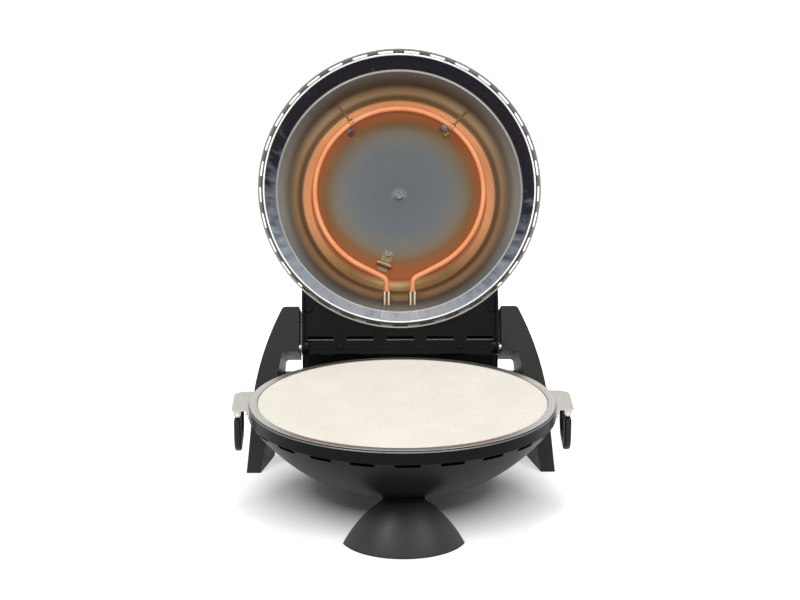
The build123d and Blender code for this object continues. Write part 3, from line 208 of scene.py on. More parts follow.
# %% [markdown]
# ## The metals
# Stainless steel sheet is brushed, and the brush leaves fine parallel scratches. On the turned parts they run
# round, and on the flat bracket they run along it. Scratches are about 0.1 mm apart; they are drawn near 0.5 mm.

# %% Brushed, zinc-plated and bright metals


def sheet_metal(name, light, dark, roughness, scratch_mm, stretch, depth_mm=0.006):
    """Metal sheet with scratches stretched along one axis, which vary its tone and its gloss a little."""
    material, tree, shader = new_material(name, Metallic=1.0, Roughness=roughness)
    scratches = grain(tree, scratch_mm, detail=3.0, stretch=stretch)
    tree.links.new(blend_colours(tree, between(tree, scratches, 0.35, 0.65), dark, light), shader.inputs["Base Color"])
    tree.links.new(between(tree, scratches, 0.3, 0.7, roughness - 0.06, roughness + 0.08), shader.inputs["Roughness"])
    tree.links.new(bump(tree, scratches, depth_mm), shader.inputs["Normal"])
    return material


bracket_steel = sheet_metal("brushed_bracket_steel", "#CDC9C3", "#BFBBB5", 0.38, 0.9, (1.0, 0.04, 1.0), 0.001)
zinc_plate = sheet_metal("dull_zinc", "#B9B9B4", "#8F9090", 0.42, 1.6, (1, 1, 1))
bright_steel = sheet_metal("bright_steel", "#F2F0EC", "#D9D7D2", 0.16, 0.6, (0.2, 1, 1))
clip_steel = sheet_metal("spring_steel", "#A08C70", "#78644A", 0.28, 0.8, (1, 1, 1))
bead_steel = sheet_metal("rolled_bead_steel", "#8F8F8C", "#6E6E6C", 0.3, 0.6, (1, 1, 1))
straw_clip = sheet_metal("straw_tinted_clip_steel", "#C79A6C", "#96683C", 0.45, 0.8, (1, 1, 1))
pan_screw_steel = sheet_metal("polished_pan_screw_steel", "#A9AEB0", "#4C5154", 0.2, 1.1, (1, 1, 1))
aged_brass = sheet_metal("aged_brass", "#4E4128", "#332A1A", 0.4, 0.6, (1, 1, 1))
bulb_copper = sheet_metal("drawn_copper", "#C78A66", "#9C6749", 0.30, 0.6, (1, 1, 1))

# %% [markdown]
# ## Small non-metals
# Rubber is matt and nearly black, ceramic terminal blocks are white and slightly rough, the bushes are
# natural acetal, and the pilot lamp's lens is clear red polycarbonate.

# %% Rubber, ceramic, acetal and the red lens


def plain_moulding(name, base, patch, roughness, size_mm, depth_mm):
    """A single-coloured moulding with faint mottling and a little relief."""
    material, tree, shader = new_material(name, Roughness=roughness, IOR=1.5)
    mottle = grain(tree, size_mm, detail=3.0)
    tree.links.new(blend_colours(tree, between(tree, mottle, 0.35, 0.65), base, patch), shader.inputs["Base Color"])
    tree.links.new(bump(tree, mottle, depth_mm), shader.inputs["Normal"])
    return material


pad_rubber = plain_moulding("matt_rubber", "#161616", "#1F1F1F", 0.8, 1.0, 0.03)
terminal_ceramic = plain_moulding("unglazed_steatite", "#E9E4D8", "#D9D2C2", 0.6, 1.4, 0.03)
bush_acetal = plain_moulding("natural_acetal", "#E6E3DA", "#DAD6CA", 0.35, 3.0, 0.01)
lens_red = plain_moulding("red_polycarbonate", "#B3231B", "#8E1712", 0.12, 4.0, 0.0)

# %% [markdown]
# ## The stone
# The stone is pressed cordierite clay: warm white and dry, with sand grains of half a millimetre, a few darker
# specks and faint wide clouding from the kiln.

# %% Fired clay
fired_clay, tree, shader = new_material("fired_clay", Roughness=0.86, IOR=1.45)
sand = grain(tree, 0.9, detail=2.0)
specks = grain(tree, 2.6, detail=0.0)
kiln = grain(tree, 55.0, detail=3.0)
body_colour = blend_colours(tree, between(tree, kiln, 0.3, 0.7), "#F3EEE4", "#EDE6DA")
sandy = blend_colours(tree, between(tree, sand, 0.52, 0.72, 0.0, 0.5), body_colour, "#E3DACB")
speckled = blend_colours(tree, between(tree, specks, 0.73, 0.80, 0.0, 0.55), sandy, "#B9A68A")
tree.links.new(speckled, shader.inputs["Base Color"])
tree.links.new(bump(tree, sand, 0.08), shader.inputs["Normal"])

# %% [markdown]
# ## Turned surfaces
# The lid's pan, its rolled rim and the bowl's ring are all turned forms: a profile carried round an axis. The
# profile is a list of points, the corners are rounded by a short arc, and numpy works out the whole grid.

# %% A profile carried round an axis


def rounded(points, radius, steps=6):
    """A line of points whose inner corners are replaced by short curves: each runs from a cut before the
    corner to a cut after it, as a quadratic curve with the corner as its control point."""
    points = np.asarray(points, float)
    out = [points[:1]]
    for before, corner, after in zip(points[:-2], points[1:-1], points[2:]):
        reach = min(radius, 0.45 * np.linalg.norm(corner - before), 0.45 * np.linalg.norm(after - corner))
        first = corner + (before - corner) / np.linalg.norm(before - corner) * reach
        last = corner + (after - corner) / np.linalg.norm(after - corner) * reach
        t = np.linspace(0, 1, steps)[:, None]
        out.append((1 - t) ** 2 * first + 2 * t * (1 - t) * corner + t**2 * last)
    out.append(points[-1:])
    return np.concatenate(out)


def grid_mesh(name, points, wrap_rows, wrap_columns, material, smooth=True):
    """A mesh from a grid of points: row i and column j give one vertex, and each square of the grid one face.
    Wrapped rows or columns join the last to the first."""
    rows, columns = points.shape[:2]
    i = np.arange(rows if wrap_rows else rows - 1)[:, None]
    j = np.arange(columns if wrap_columns else columns - 1)[None, :]
    i2, j2 = (i + 1) % rows, (j + 1) % columns
    faces = np.stack([i * columns + j, i * columns + j2, i2 * columns + j2, i2 * columns + j], -1)
    mesh = bpy.data.meshes.new(name)
    mesh.from_pydata(points.reshape(-1, 3), [], faces.reshape(-1, 4))
    mesh.polygons.foreach_set("use_smooth", np.full(len(mesh.polygons), smooth))
    if material is not None:
        mesh.materials.append(material)
    piece = bpy.data.objects.new(name, mesh)
    bpy.context.scene.collection.objects.link(piece)
    return piece


def keep_values(piece, name, values):
    """Stores one number for each vertex under a name that a material can read."""
    kept = piece.data.attributes.new(name, "FLOAT", "POINT")
    kept.data.foreach_set("value", np.asarray(values, np.float32).ravel())


def keep_vectors(piece, name, values):
    """Stores one vector for each vertex under a name that a material can read."""
    kept = piece.data.attributes.new(name, "FLOAT_VECTOR", "POINT")
    kept.data.foreach_set("vector", np.asarray(values, np.float32).ravel())


def face_outwards(piece):
    """Merges doubled points, at a pole for example, and turns every face to point out of the closed form."""
    form = bmesh.new()
    form.from_mesh(piece.data)
    bmesh.ops.remove_doubles(form, verts=form.verts, dist=1e-6)
    bmesh.ops.recalc_face_normals(form, faces=form.faces)
    form.to_mesh(piece.data)
    form.free()
    return piece


def turned(name, profile_mm, material, on_the_lid, columns=256):
    """A closed profile of (radius, height) in millimetres carried once round the vertical axis. The point at
    turn t is (radius cos t, radius sin t, height); lid profiles give the depth above the rim and swing open."""
    profile = np.asarray(profile_mm) * MM
    t = np.linspace(0, 2 * pi, columns, endpoint=False)
    radius, height = profile[:, 0][:, None], profile[:, 1][:, None]
    lift = LID_RIM if on_the_lid else 0.0
    points = np.stack([radius * np.cos(t), radius * np.sin(t), height + lift + 0 * t], -1)
    if on_the_lid:
        points = swing_open(points)
    piece = grid_mesh(name, points, True, True, material)
    return face_outwards(piece)


def sheet_profile(line, thickness):
    """Closes a line into the outline of a bent sheet: out along the line, and back along a copy of it that is
    moved by the thickness along the line's own normal."""
    line = np.asarray(line, float)
    run = np.gradient(line, axis=0)
    run /= np.linalg.norm(run, axis=1)[:, None]
    normal = np.stack([run[:, 1], -run[:, 0]], -1)
    return np.concatenate([line, (line + normal * thickness)[::-1]])


# %% [markdown]
# ## The reflector pan in the lid
# The pan is pressed from bright steel: a flat lip, a polished band, a sharp crease, a curved wall and a brushed
# floor. It stands close behind the glowing tube, so the steel near the tube is heat-tinted straw and brown, mixed
# with painted glow. A faint painted glow follows the distance to the tube, which is worked out here for every point
# and kept on the mesh.

# %% Pan surface
PAN_STEP, PAN_STEP_DEPTH, PAN_FLOOR, PAN_DEPTH = 142.8, 22.4, 101.5, 61.0
ELEMENT_RING, ELEMENT_DEPTH, ELEMENT_GAP = 98.3, 30.0, 15.0


def arc_through(first, middle, last, steps):
    """Points on the circle through three points, at even angles from the first to the last."""
    a, b, c = (complex(*p) for p in (first, middle, last))
    w = (c - a) / (b - a)
    centre = (b - a) * (w - abs(w) ** 2) / (2j * w.imag) + a
    angles = np.unwrap(np.angle(np.array([a, b, c]) - centre))
    spots = centre + abs(a - centre) * np.exp(1j * np.linspace(angles[0], angles[2], steps))
    return np.stack([spots.real, spots.imag], -1)


def distance_to_element(points):
    """Distance in millimetres from each point of the shut lid's pan to the tube: to its ring, or where the
    point lies behind the two tails, to the straight tails."""
    x, y, depth = points[..., 0] / MM, points[..., 1] / MM, (points[..., 2] - LID_RIM) / MM
    ring = np.hypot(np.hypot(x, y) - ELEMENT_RING, depth - ELEMENT_DEPTH)
    open_side = (y > 0) & (np.abs(x) < 0.45 * y)
    ring = np.where(open_side, np.hypot(ring, 0.9 * (45 - np.abs(x)).clip(0)), ring)
    tails = np.hypot(np.hypot(np.abs(x) - ELEMENT_GAP, depth - 35), (100 - y).clip(0))
    return np.minimum(ring, tails)


lip_line = rounded([(157.5, 0.05), (155.95, 0.05), (154.6, 2.3)], 0.8, 5)
band_line = np.linspace((154.2, 3.0), (143.5, 21.2), 9)
crease_line = [(142.95, 22.15), (142.6, 22.65), (142.05, 23.25)]
wall_line = arc_through((141.5, 23.8), (128.4, 39.4), (103.2, 59.5), 40)
floor_edge = rounded([wall_line[-1], (PAN_FLOOR, PAN_DEPTH), (98.6, PAN_DEPTH)], 2.2, 5)
floor_line = np.linspace((96.5, PAN_DEPTH), (0.02, PAN_DEPTH), 28)
pan_line = np.concatenate([lip_line, band_line, crease_line, wall_line, floor_edge[1:], floor_line])

t = np.linspace(0, 2 * pi, 288, endpoint=False)
outline = sheet_profile(pan_line, 0.9) * MM
radius, depth = outline[:, 0][:, None], outline[:, 1][:, None]
shut = np.stack([radius * np.cos(t), radius * np.sin(t), LID_RIM + depth + 0 * t], -1)
heat = distance_to_element(shut)
reflector = grid_mesh("lid_reflector", swing_open(shut), True, True, None)
along = np.broadcast_to(np.arange(len(outline))[:, None] / len(outline), heat.shape)
keep_values(reflector, "heat_distance", heat)
keep_vectors(reflector, "lathe", np.stack([np.cos(t) + 0 * along, np.sin(t) + 0 * along, along], -1))
keep_values(reflector, "pan_radius", np.hypot(shut[..., 0], shut[..., 1]) / MM)
keep_values(reflector, "pan_depth", (shut[..., 2] - LID_RIM) / MM)
face_outwards(reflector)
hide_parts("lid_pan")
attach(reflector, "lid")

# %% [markdown]
# ## Finish of the pan
# The colours follow the radius: cold blue-grey steel in the middle with a painted highlight round the centre screw,
# straw and brown heat tint towards the tube mixed with painted glow, an orange painted reflection of the glowing
# tube on the foot of the wall, warm grey up the wall with painted reflection bands, a painted shadow band and
# painted highlights on its left and right flanks, a painted highlight on the crease and a dark polished band. Round
# the band a painted reflection is brighter towards the hinge, in streaks about 4 degrees apart, and the lip has a
# painted white highlight.

# %% Heat-tinted reflector steel with painted light


def ramp(tree, value, stops):
    """A run of colours over a value, from stops of (value, colour), held beyond the first and the last."""
    low, high = stops[0][0], stops[-1][0]
    node = add(tree, "ShaderNodeValToRGB", {0: between(tree, value, low, high)})
    points = node.color_ramp.elements
    while len(points) < len(stops):
        points.new(0.5)
    for point, (place, text) in zip(points, stops):
        point.position = (place - low) / (high - low)
        point.color = colour(text)
    return node.outputs[0]


def attribute(tree, name):
    """Reads a kept attribute: its number first and its vector second."""
    node = add(tree, "ShaderNodeAttribute", attribute_name=name)
    return node.outputs["Fac"], node.outputs["Vector"]


def maths(tree, operation, first, second=0.0):
    """One arithmetic step."""
    return add(tree, "ShaderNodeMath", {0: first, 1: second}, operation=operation).outputs[0]


pan_steel, tree, shader = new_material("reflector_steel_heat_tint_and_painted_light", Metallic=0.4, Roughness=0.3)
pan_radius = attribute(tree, "pan_radius")[0]
lathe = attribute(tree, "lathe")[1]
split = add(tree, "ShaderNodeSeparateXYZ", {0: lathe})
across, down = split.outputs["X"], split.outputs["Y"]
# On the side towards the hinge, the heat tint and painted glow of the floor reach up to 9 mm further in.
tint_and_glow_shift = maths(tree, "MULTIPLY", between(tree, pan_radius, 98.0, 84.0, 0.0, 9.0), between(tree, down, 0.0, 0.9))
# The stops: a painted highlight round the centre screw to 11 mm, heat tint mixed with painted glow to 101.6 mm, the
# painted reflection of the tube to 113.6 mm, painted reflection bands and a painted shadow band at 129.6 mm up the
# wall, and a painted highlight on the crease from 142 to 143.1 mm.
steel_and_painted_light_run = ramp(
    tree,
    maths(tree, "ADD", pan_radius, tint_and_glow_shift),
    [
        (0, "#A4A9AC"),
        (5, "#7C8286"),
        (11, "#5A6065"),
        (50, "#62686C"),
        (68, "#6E6D68"),
        (79, "#766A56"),
        (88, "#7B5628"),
        (97, "#9C4F19"),
        (101.6, "#7E4218"),
        (104.0, "#E8965E"),
        (111.6, "#E5A06C"),
        (113.6, "#6A4B22"),
        (116.8, "#54401C"),
        (121.2, "#A3825C"),
        (124.6, "#8E7654"),
        (129.6, "#443F31"),
        (134, "#58584F"),
        (141.4, "#75776F"),
        (142.0, "#EAF6FC"),
        (143.1, "#EAF6FC"),
        (143.8, "#4A4D52"),
    ],
)
# Between 102 and 113.6 mm the orange is a painted reflection of the glowing tube; towards the hinge it fades to brown.
painted_glow_reflection_ring = maths(tree, "MULTIPLY", between(tree, pan_radius, 101.8, 103.5), between(tree, pan_radius, 113.6, 111.8))
faded_glow_reflection = maths(tree, "MULTIPLY", painted_glow_reflection_ring, between(tree, down, 0.3, 0.85))
steel_and_painted_light_run = blend_colours(tree, faded_glow_reflection, steel_and_painted_light_run, "#80602F")
# The upper wall is painted paler on its left and right flanks: a painted highlight.
flank_highlight = maths(tree, "POWER", maths(tree, "ABSOLUTE", across), 5.0)
upper_wall_highlight = maths(tree, "MULTIPLY", between(tree, pan_radius, 124.0, 136.0), flank_highlight)
wall = blend_colours(tree, maths(tree, "MULTIPLY", upper_wall_highlight, 0.6), steel_and_painted_light_run, "#BEC3BC")
# The band's colour is a painted reflection: dark blue-grey, and pale in streaks on the side towards the hinge.
reflection_streaks = add(tree, "ShaderNodeTexNoise", {"Vector": lathe, "Scale": 16.0, "Detail": 5.0}).outputs[0]
reflection_side = between(tree, maths(tree, "SUBTRACT", down, maths(tree, "MULTIPLY", across, 0.2)), -0.35, 0.85)
band_reflection = between(tree, maths(tree, "ADD", reflection_side, maths(tree, "MULTIPLY", reflection_streaks, 1.3)), 0.85, 1.6)
band_reflection_tone = blend_colours(tree, band_reflection, "#1D2A3B", "#BACCDA")
# At the very edge of the lip the colour goes to white: a painted highlight.
lip_highlight = between(tree, pan_radius, 155.3, 155.9)
band_colour = blend_colours(tree, lip_highlight, band_reflection_tone, "#FFFFFF")
zone = between(tree, pan_radius, 143.2, 144.0)
base = blend_colours(tree, zone, wall, band_colour)
brushing = grain(tree, 1.3, detail=3.0, stretch=(1.0, 0.05, 0.05), lean=28.0)
shade = between(tree, brushing, 0.3, 0.7, 0.0, 0.16)
tree.links.new(blend_colours(tree, shade, base, "#4A4D50"), shader.inputs["Base Color"])
tree.links.new(between(tree, pan_radius, 98.0, 108.0, 0.40, 0.22), shader.inputs["Roughness"])
tree.links.new(bump(tree, brushing, 0.004), shader.inputs["Normal"])
# Steel closer than 50 mm to the tube, fully within 28 mm, glows faint orange: painted glow from the tube.
painted_glow = between(tree, attribute(tree, "heat_distance")[0], 50.0, 28.0)
tree.links.new(blend_colours(tree, painted_glow, "#000000", "#C8672E"), shader.inputs["Emission Color"])
shader.inputs["Emission Strength"].default_value = 0.03
reflector.data.materials.append(pan_steel)

# %% [markdown]
# ## The glowing tube
# The tube is a metal-sheathed element at about 800 degrees: orange, with a painted highlight along the side that
# faces out, and a little uneven along its length. The tube under the stone is cold, brown and grey from earlier heat.

# %% Hot and cold elements
glowing_tube, tree, shader = new_material("glowing_element_sheath", Roughness=0.55)
uneven = grain(tree, 34.0, detail=2.0)
speck = grain(tree, 1.5, detail=3.0)
way = add(tree, "ShaderNodeTexCoord").outputs["Normal"]
facing = add(tree, "ShaderNodeVectorMath", {0: way, 1: tuple(-lid_inward)}, operation="DOT_PRODUCT").outputs["Value"]
# The side of the tube that faces out of the lid is paler in colour and glow: a painted highlight.
painted_highlight_crest = between(tree, facing, 0.35, 0.95)
highlight_crest_tone = blend_colours(tree, between(tree, uneven, 0.3, 0.7), "#E8935C", "#F2A878")
hot = blend_colours(tree, painted_highlight_crest, "#B55A26", highlight_crest_tone)
tree.links.new(blend_colours(tree, between(tree, speck, 0.4, 0.7, 0.0, 0.25), hot, "#B9622E"), shader.inputs["Base Color"])
tree.links.new(blend_colours(tree, painted_highlight_crest, "#A84A16", "#EE9159"), shader.inputs["Emission Color"])
shader.inputs["Emission Strength"].default_value = 0.14
tree.links.new(bump(tree, speck, 0.02), shader.inputs["Normal"])

cold_tube, tree, shader = new_material("cold_element_sheath", Metallic=0.7, Roughness=0.55)
scale_marks = grain(tree, 12.0, detail=4.0)
tree.links.new(blend_colours(tree, between(tree, scale_marks, 0.3, 0.7), "#4A4038", "#6E675E"), shader.inputs["Base Color"])
tree.links.new(bump(tree, scale_marks, 0.02), shader.inputs["Normal"])

# %% [markdown]
# ## The collars on the tube's ends
# Each end of the hot tube sits in a polished collar. Its colour is a painted reflection: brown along its middle,
# and a bright painted highlight on each of its two flanks, so it shows as two bright lines.

# %% Collars with painted reflection stripes
collar_steel, tree, shader = new_material("collar_steel_painted_reflection", Metallic=0.5, Roughness=0.25)
place = add(tree, "ShaderNodeTexCoord").outputs["Object"]
sideways = maths(tree, "ABSOLUTE", add(tree, "ShaderNodeSeparateXYZ", {0: place}).outputs[0])
off_middle = maths(tree, "ABSOLUTE", maths(tree, "SUBTRACT", sideways, ELEMENT_GAP * MM))
# Brown in the middle and near white 2 to 3.2 mm to each side: painted reflection of a polished cylinder.
collar_reflection_tone = ramp(
    tree,
    maths(tree, "MULTIPLY", off_middle, 1000.0),
    [(0, "#6B4A24"), (1.4, "#8A6233"), (2.0, "#FFF3DC"), (3.2, "#FFE9C4"), (3.8, "#8A6A42")],
)
tarnish = grain(tree, 1.2, detail=3.0)
tree.links.new(blend_colours(tree, between(tree, tarnish, 0.35, 0.75, 0.0, 0.3), collar_reflection_tone, "#7A5A34"), shader.inputs["Base Color"])
tree.links.new(bump(tree, tarnish, 0.005), shader.inputs["Normal"])

# %% [markdown]
# ## The lid's shell
# Outside, the dome is black baked paint. Inside, and on the rolled rim, it is bare sheet gone beige-grey. One
# material finds the side from the surface's own normal: outside faces point away from the lid's middle.

# %% Shell paint and bare inside
shell_paint, tree, shader = new_material("lid_shell_paint", Roughness=0.3, IOR=1.5, Specular_IOR_Level=0.3)
coordinates = add(tree, "ShaderNodeTexCoord")
place, facing = coordinates.outputs["Object"], coordinates.outputs["Normal"]
from_middle = add(tree, "ShaderNodeVectorMath", {0: place, 1: tuple(lid_middle)}, operation="SUBTRACT").outputs[0]
height = add(tree, "ShaderNodeVectorMath", {0: from_middle, 1: tuple(lid_inward)}, operation="DOT_PRODUCT").outputs["Value"]
outward = add(tree, "ShaderNodeVectorMath", {0: from_middle}, operation="NORMALIZE").outputs[0]
side = add(tree, "ShaderNodeVectorMath", {0: outward, 1: facing}, operation="DOT_PRODUCT").outputs["Value"]
painted = maths(tree, "MULTIPLY", between(tree, side, -0.1, 0.1), between(tree, height, 0.0084, 0.0090))
peel = grain(tree, 2.4, detail=1.0)
cloud = grain(tree, 50.0, detail=2.0)
black = blend_colours(tree, between(tree, cloud, 0.3, 0.7), "#111110", "#191918")
bare = blend_colours(tree, between(tree, cloud, 0.3, 0.7), "#A8A49C", "#BDB9B1")
tree.links.new(blend_colours(tree, painted, bare, black), shader.inputs["Base Color"])
tree.links.new(between(tree, painted, 0.0, 1.0, 0.3, 0.0), shader.inputs["Metallic"])
tree.links.new(bump(tree, peel, 0.015), shader.inputs["Normal"])

# %% [markdown]
# ## The crown of the dome
# A spun dome meets the spindle's cup at its very middle, where the paint bridges the mark. A thin skin of the same
# paint follows the crown there and dips below the steel at its edge, so that its edge doesn't show.

# %% Paint over the crown
CROWN_RADIUS, CROWN_CENTRE_DEPTH = 420.73, -342.05
skin_radius = np.linspace(0.02, 22.0, 25)
proud = 0.12 - 0.12 * (skin_radius / 20.0) ** 2
skin_top = CROWN_CENTRE_DEPTH + np.sqrt((CROWN_RADIUS + proud) ** 2 - skin_radius**2)
skin_under = skin_top[0] - 1.0 + 0 * skin_radius
skin_profile = np.stack([skin_radius, skin_top], -1)
under_profile = np.stack([skin_radius, np.minimum(skin_under, skin_top - 0.05)], -1)[::-1]
crown_skin = turned("lid_crown_skin", np.concatenate([skin_profile, under_profile]), shell_paint, True, 96)
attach(crown_skin, "lid")

# %% [markdown]
# ## The ring round the stone
# The lower pan is turned stainless: its ring is brushed round the axis, so the scratches follow the turn.

# %% Ring brushed round
ring_steel, tree, shader = new_material("turned_ring_steel", Metallic=1.0, Roughness=0.28)
place = add(tree, "ShaderNodeTexCoord").outputs["Object"]
split = add(tree, "ShaderNodeSeparateXYZ", {0: place})
flat = add(tree, "ShaderNodeCombineXYZ", {0: split.outputs[0], 1: split.outputs[1]}).outputs[0]
distance = add(tree, "ShaderNodeVectorMath", {0: flat}, operation="LENGTH").outputs["Value"]
turn_lines = add(tree, "ShaderNodeTexNoise", {"W": distance, "Scale": 900.0, "Detail": 3.0}, noise_dimensions="1D").outputs[0]
turned_tone = blend_colours(tree, between(tree, turn_lines, 0.35, 0.65), "#B4B2AE", "#D2D0CC")
# Below 124 mm and beyond 162.8 mm from the middle, the ring goes near black: painted shade in the gap over the bowl.
under = between(tree, split.outputs[2], 0.1241, 0.1238)
outer = between(tree, distance, 0.1628, 0.1632)
edge_shade = maths(tree, "MULTIPLY", under, outer)
tree.links.new(blend_colours(tree, edge_shade, turned_tone, "#2A2A29"), shader.inputs["Base Color"])
tree.links.new(between(tree, turn_lines, 0.3, 0.7, 0.22, 0.36), shader.inputs["Roughness"])
tree.links.new(bump(tree, turn_lines, 0.006), shader.inputs["Normal"])

# %% [markdown]
# ## Louvre lips and the bowl's rolled edge
# Each slot in the control box's plate has a lip pressed out along its far side: a low arch 2 mm proud that fades
# out at both ends, coloured lighter grey than the box as a painted highlight. The bowl's edge is rolled into a thin
# bead under the ring.

# %% Pressed lips
PLATE, LOUVRE_Y, LOUVRE_PITCH = 127.0, 177.2, 45.7


def louvre_lip(name, middle):
    """A closed low arch along x: at share u across and v along, its height is sin(pi u) times the fourth root
    of 1 - v^8, so that the ends close in a round."""
    u = np.linspace(0, 1, 11)[:, None]
    v = np.linspace(-1, 1, 61)[None, :]
    rise = (1 - v**8).clip(0) ** 0.5
    x = middle + 16.2 * v + 0 * u
    y = LOUVRE_Y + 1.0 * (2 * u - 1) * (0.55 + 0.45 * rise)
    z = PLATE + 0.3 - 2.2 * np.sin(pi * u) ** 0.8 * rise
    arch = np.stack([x, y, z], -1)
    back = np.stack([x, y, 0 * x + PLATE + 0.8], -1)[::-1]
    closed = np.concatenate([arch, back])
    closed[:, 0] = closed[:, 0].mean(0)
    closed[:, -1] = closed[:, -1].mean(0)
    piece = grid_mesh(name, swing_open(closed * MM), True, False, lip_highlight_nylon)
    face_outwards(piece)
    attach(piece, "lid")
    return piece


for i in range(5):
    louvre_lip(f"louvre_lip_{i + 1}", LOUVRE_PITCH * (i - 2))

# %% Rolled bead
a = np.linspace(0, 2 * pi, 16, endpoint=False)
bead_profile = np.stack([163.75 + 0.75 * np.cos(a), 121.9 + 0.75 * np.sin(a)], -1)
bead = turned("bowl_rolled_edge", bead_profile, bead_steel, False)
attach(bead, "base")

# %% [markdown]
# ## Scales round the dials
# A scale of short lines is printed round each dial on the back of the control box, in pale ink that is a little
# proud of the plastic. Each line is a thin bar that points at the dial's middle, and every third one is longer.

# %% Printed scales
DIAL_X, DIAL_Y, BOX_TOP = 62.0, 166.0, 182.0
TICK_INNER, TICK_OUTER, TICK_HALF_WIDTH = 20.6, 24.0, 0.35
scale_ink = plain_moulding("pale_screen_ink", "#C9C9C5", "#B4B4AF", 0.5, 1.5, 0.004)


def dial_scale(name, middle, sweep, count):
    """Bars at even angles of the sweep. At angle a a bar runs from the inner to the outer radius along
    (sin a, -cos a), and its eight corners are that line moved sideways and up by half its width and height."""
    a = np.radians(np.linspace(-sweep / 2, sweep / 2, count))[:, None, None]
    out = np.concatenate([np.sin(a), -np.cos(a), 0 * a], -1)
    side = np.concatenate([np.cos(a), np.sin(a), 0 * a], -1)
    reach = np.array([0, 1, 1, 0, 0, 1, 1, 0])[None, :, None]
    across = np.array([-1, -1, 1, 1, -1, -1, 1, 1])[None, :, None]
    rise = np.array([0, 0, 0, 0, 1, 1, 1, 1])[:, None] * [0, 0, 0.16]
    long_bar = (np.arange(count) % 3 == 0)[:, None, None]
    length = TICK_OUTER - TICK_INNER - np.where(long_bar, 0.0, 1.3)
    points = out * (TICK_INNER + reach * length) + side * across * TICK_HALF_WIDTH + rise
    points = points + [middle, DIAL_Y, BOX_TOP - 0.04]
    bar = np.array([[0, 3, 2, 1], [4, 5, 6, 7], [0, 1, 5, 4], [1, 2, 6, 5], [2, 3, 7, 6], [3, 0, 4, 7]])
    faces = bar[None] + 8 * np.arange(count)[:, None, None]
    mesh = bpy.data.meshes.new(name)
    mesh.from_pydata(swing_open(points.reshape(-1, 3) * MM), [], faces.reshape(-1, 4))
    mesh.materials.append(scale_ink)
    piece = bpy.data.objects.new(name, mesh)
    bpy.context.scene.collection.objects.link(piece)
    face_outwards(piece)
    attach(piece, "lid")


dial_scale("thermostat_scale", -DIAL_X, 270.0, 13)
dial_scale("timer_scale", DIAL_X, 300.0, 16)

# %% [markdown]
# ## Dressing the solids
# Every solid gets its finish by name.

# %% Finish of each solid
finishes = {
    fired_clay: ["refractory_stone"],
    ring_steel: ["lower_pan"],
    bowl_paint: ["lower_bowl"],
    cold_tube: ["lower_heating_element"],
    glowing_tube: ["upper_heating_element"],
    shell_paint: ["lid_shell"],
    foot_nylon: ["front_foot"],
    leg_nylon: ["left_leg", "right_leg"],
    box_nylon: ["rear_bridge", "bridge_cover", "control_box", "control_box_base", "lid_handle", "control_box_screws"],
    grip_nylon: ["left_grip", "right_grip"],
    knob_nylon: ["thermostat_knob", "timer_knob"],
    case_phenolic: ["thermostat_body", "timer_body"],
    bracket_steel: ["left_handle_bracket", "right_handle_bracket"],
    bright_steel: [
        "hinge_pins",
        "left_handle_pin",
        "right_handle_pin",
        "handle_rivets",
        "lower_element_ferrules",
        "thermostat_shaft",
        "timer_shaft",
    ],
    zinc_plate: [
        "pan_spacers",
        "pan_screws",
        "foot_screws",
        "bridge_screws",
        "lower_element_terminals",
        "lower_element_cradles",
        "upper_element_terminals",
        "lid_pan_posts",
        "box_mount_screws",
        "lid_handle_screws",
        "leg_screws",
        "bridge_cover_screws",
        "front_foot_screws",
        "lid_pan",
    ],
    aged_brass: ["timer_bell"],
    clip_steel: ["leaf_clip", "sensor_clip"],
    straw_clip: ["element_clips"],
    pan_screw_steel: ["lid_pan_screws"],
    collar_steel: ["upper_element_ferrules"],
    bulb_copper: ["sensor_bulb"],
    pad_rubber: ["front_foot_pad", "leg_pads", "stop_bumpers", "cord_gland"],
    terminal_ceramic: ["lower_terminal_block", "upper_terminal_block"],
    bush_acetal: ["hinge_bushes"],
    lens_red: ["pilot_lamp"],
}
dressed = set()
for finish, names in finishes.items():
    for name in names:
        if name in nodes:
            materials = nodes[name].data.materials
            materials.clear()
            materials.append(finish)
            dressed.add(name)
print("solids without a finish:", sorted(set(nodes) - dressed))

# %% [markdown]
# ## Floor, light and camera
# The object stands on a white floor under a large soft lamp, with a weaker one on each side. The background is
# white to the camera and in reflections: the floor is lifted to white by painted light that grows away from a point
# behind the bowl's middle, which narrows the shadow, and under the bowl it keeps the soft shadow, deepened by a
# darker floor colour there that is a painted shadow.

# %% Floor and world
low_corner, high_corner = solid_box
floor_mesh = bpy.data.meshes.new("studio_floor")
size = 30.0
floor_z = low_corner[2] - 0.0004
corners = [(-size, -size, floor_z), (size, -size, floor_z), (size, size, floor_z), (-size, size, floor_z)]
floor_mesh.from_pydata(corners, [], [(0, 1, 2, 3)])
floor = bpy.data.objects.new("studio_floor", floor_mesh)
bpy.context.scene.collection.objects.link(floor)
floor_paint, tree, shader = new_material("studio_floor_paint", Roughness=1.0)
shader.inputs["Specular IOR Level"].default_value = 0.0
path = add(tree, "ShaderNodeLightPath")
mirrored = maths(tree, "MULTIPLY", path.outputs["Is Glossy Ray"], 0.5)
seen = maths(tree, "MAXIMUM", path.outputs["Is Camera Ray"], mirrored)
place = add(tree, "ShaderNodeTexCoord").outputs["Object"]
split = add(tree, "ShaderNodeSeparateXYZ", {0: place})
# The floor's glow towards the camera is painted light: it grows with the distance from a point 8 cm behind the bowl's
# middle, which narrows the shadow.
behind = maths(tree, "MULTIPLY", maths(tree, "SUBTRACT", split.outputs[1], 0.08), 1.15)
flat = add(tree, "ShaderNodeCombineXYZ", {0: split.outputs[0], 1: behind}).outputs[0]
distance = add(tree, "ShaderNodeVectorMath", {0: flat}, operation="LENGTH").outputs["Value"]
near_lift = between(tree, distance, 0.095, 0.205, 0.0, 0.62)
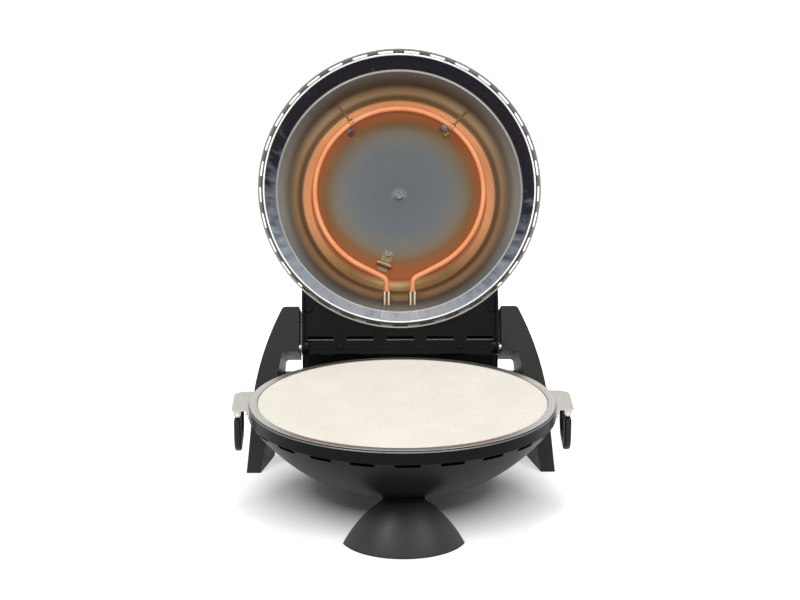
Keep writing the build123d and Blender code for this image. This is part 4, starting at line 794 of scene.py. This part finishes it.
# Within 8 to 20 cm of that point the floor's colour darkens to grey: a painted shadow under the bowl.
painted_shadow_floor_tone = blend_colours(tree, between(tree, distance, 0.08, 0.20), "#BDBDBD", "#F4F4F4")
tree.links.new(painted_shadow_floor_tone, shader.inputs["Base Color"])
far_lift = between(tree, distance, 0.30, 1.20, 0.0, 0.40)
lift = maths(tree, "ADD", near_lift, far_lift)
tree.links.new(maths(tree, "MULTIPLY", seen, lift), shader.inputs["Emission Strength"])
shader.inputs["Emission Color"].default_value = (1, 1, 1, 1)
floor_mesh.materials.append(floor_paint)

world = bpy.data.worlds.new("studio")
bpy.context.scene.world = world
world.use_nodes = True
tree = world.node_tree
background = tree.nodes["Background"]
background.inputs["Color"].default_value = (1, 1, 1, 1)
path = add(tree, "ShaderNodeLightPath")
direct = maths(tree, "MAXIMUM", path.outputs["Is Camera Ray"], path.outputs["Is Glossy Ray"])
direct = maths(tree, "MAXIMUM", direct, path.outputs["Is Transmission Ray"])
tree.links.new(between(tree, direct, 0.0, 1.0, 0.42, 1.0), background.inputs["Strength"])

# %% Lamps


def lamp(name, spot, target, size, power, tint="#FFFFFF"):
    """A square soft lamp at a spot, turned to a target; size in metres and power in watts."""
    data = bpy.data.lights.new(name, "AREA")
    data.size, data.energy, data.color = size, power, colour(tint)[:3]
    unit = bpy.data.objects.new(name, data)
    unit.location = spot
    unit.rotation_euler = (Vector(target) - Vector(spot)).to_track_quat("-Z", "Y").to_euler()
    bpy.context.scene.collection.objects.link(unit)


lamp("top_softbox", (0.1, 0.0, 2.2), (0, 0.1, 0.1), 0.9, 15)
lamp("left_softbox", (-1.3, -1.4, 2.1), (0, 0.1, 0.2), 1.0, 18)
lamp("right_softbox", (1.4, -1.2, 1.9), (0, 0.1, 0.2), 1.0, 13)

# %% Camera
camera_data = bpy.data.cameras.new("camera")
camera = bpy.data.objects.new("camera", camera_data)
bpy.context.scene.collection.objects.link(camera)
camera.location = Vector((-34.0, -2390.5, 885.7)) * MM
aim = Vector((-2.71, 0.0, 236.15)) * MM
camera.rotation_euler = (aim - camera.location).to_track_quat("-Z", "Y").to_euler()
camera_data.lens, camera_data.sensor_width = 105.6, 36.0
camera_data.clip_start, camera_data.clip_end = 0.05, 60.0
bpy.context.scene.camera = camera

view = bpy.context.scene.view_settings
view.view_transform = "Standard"
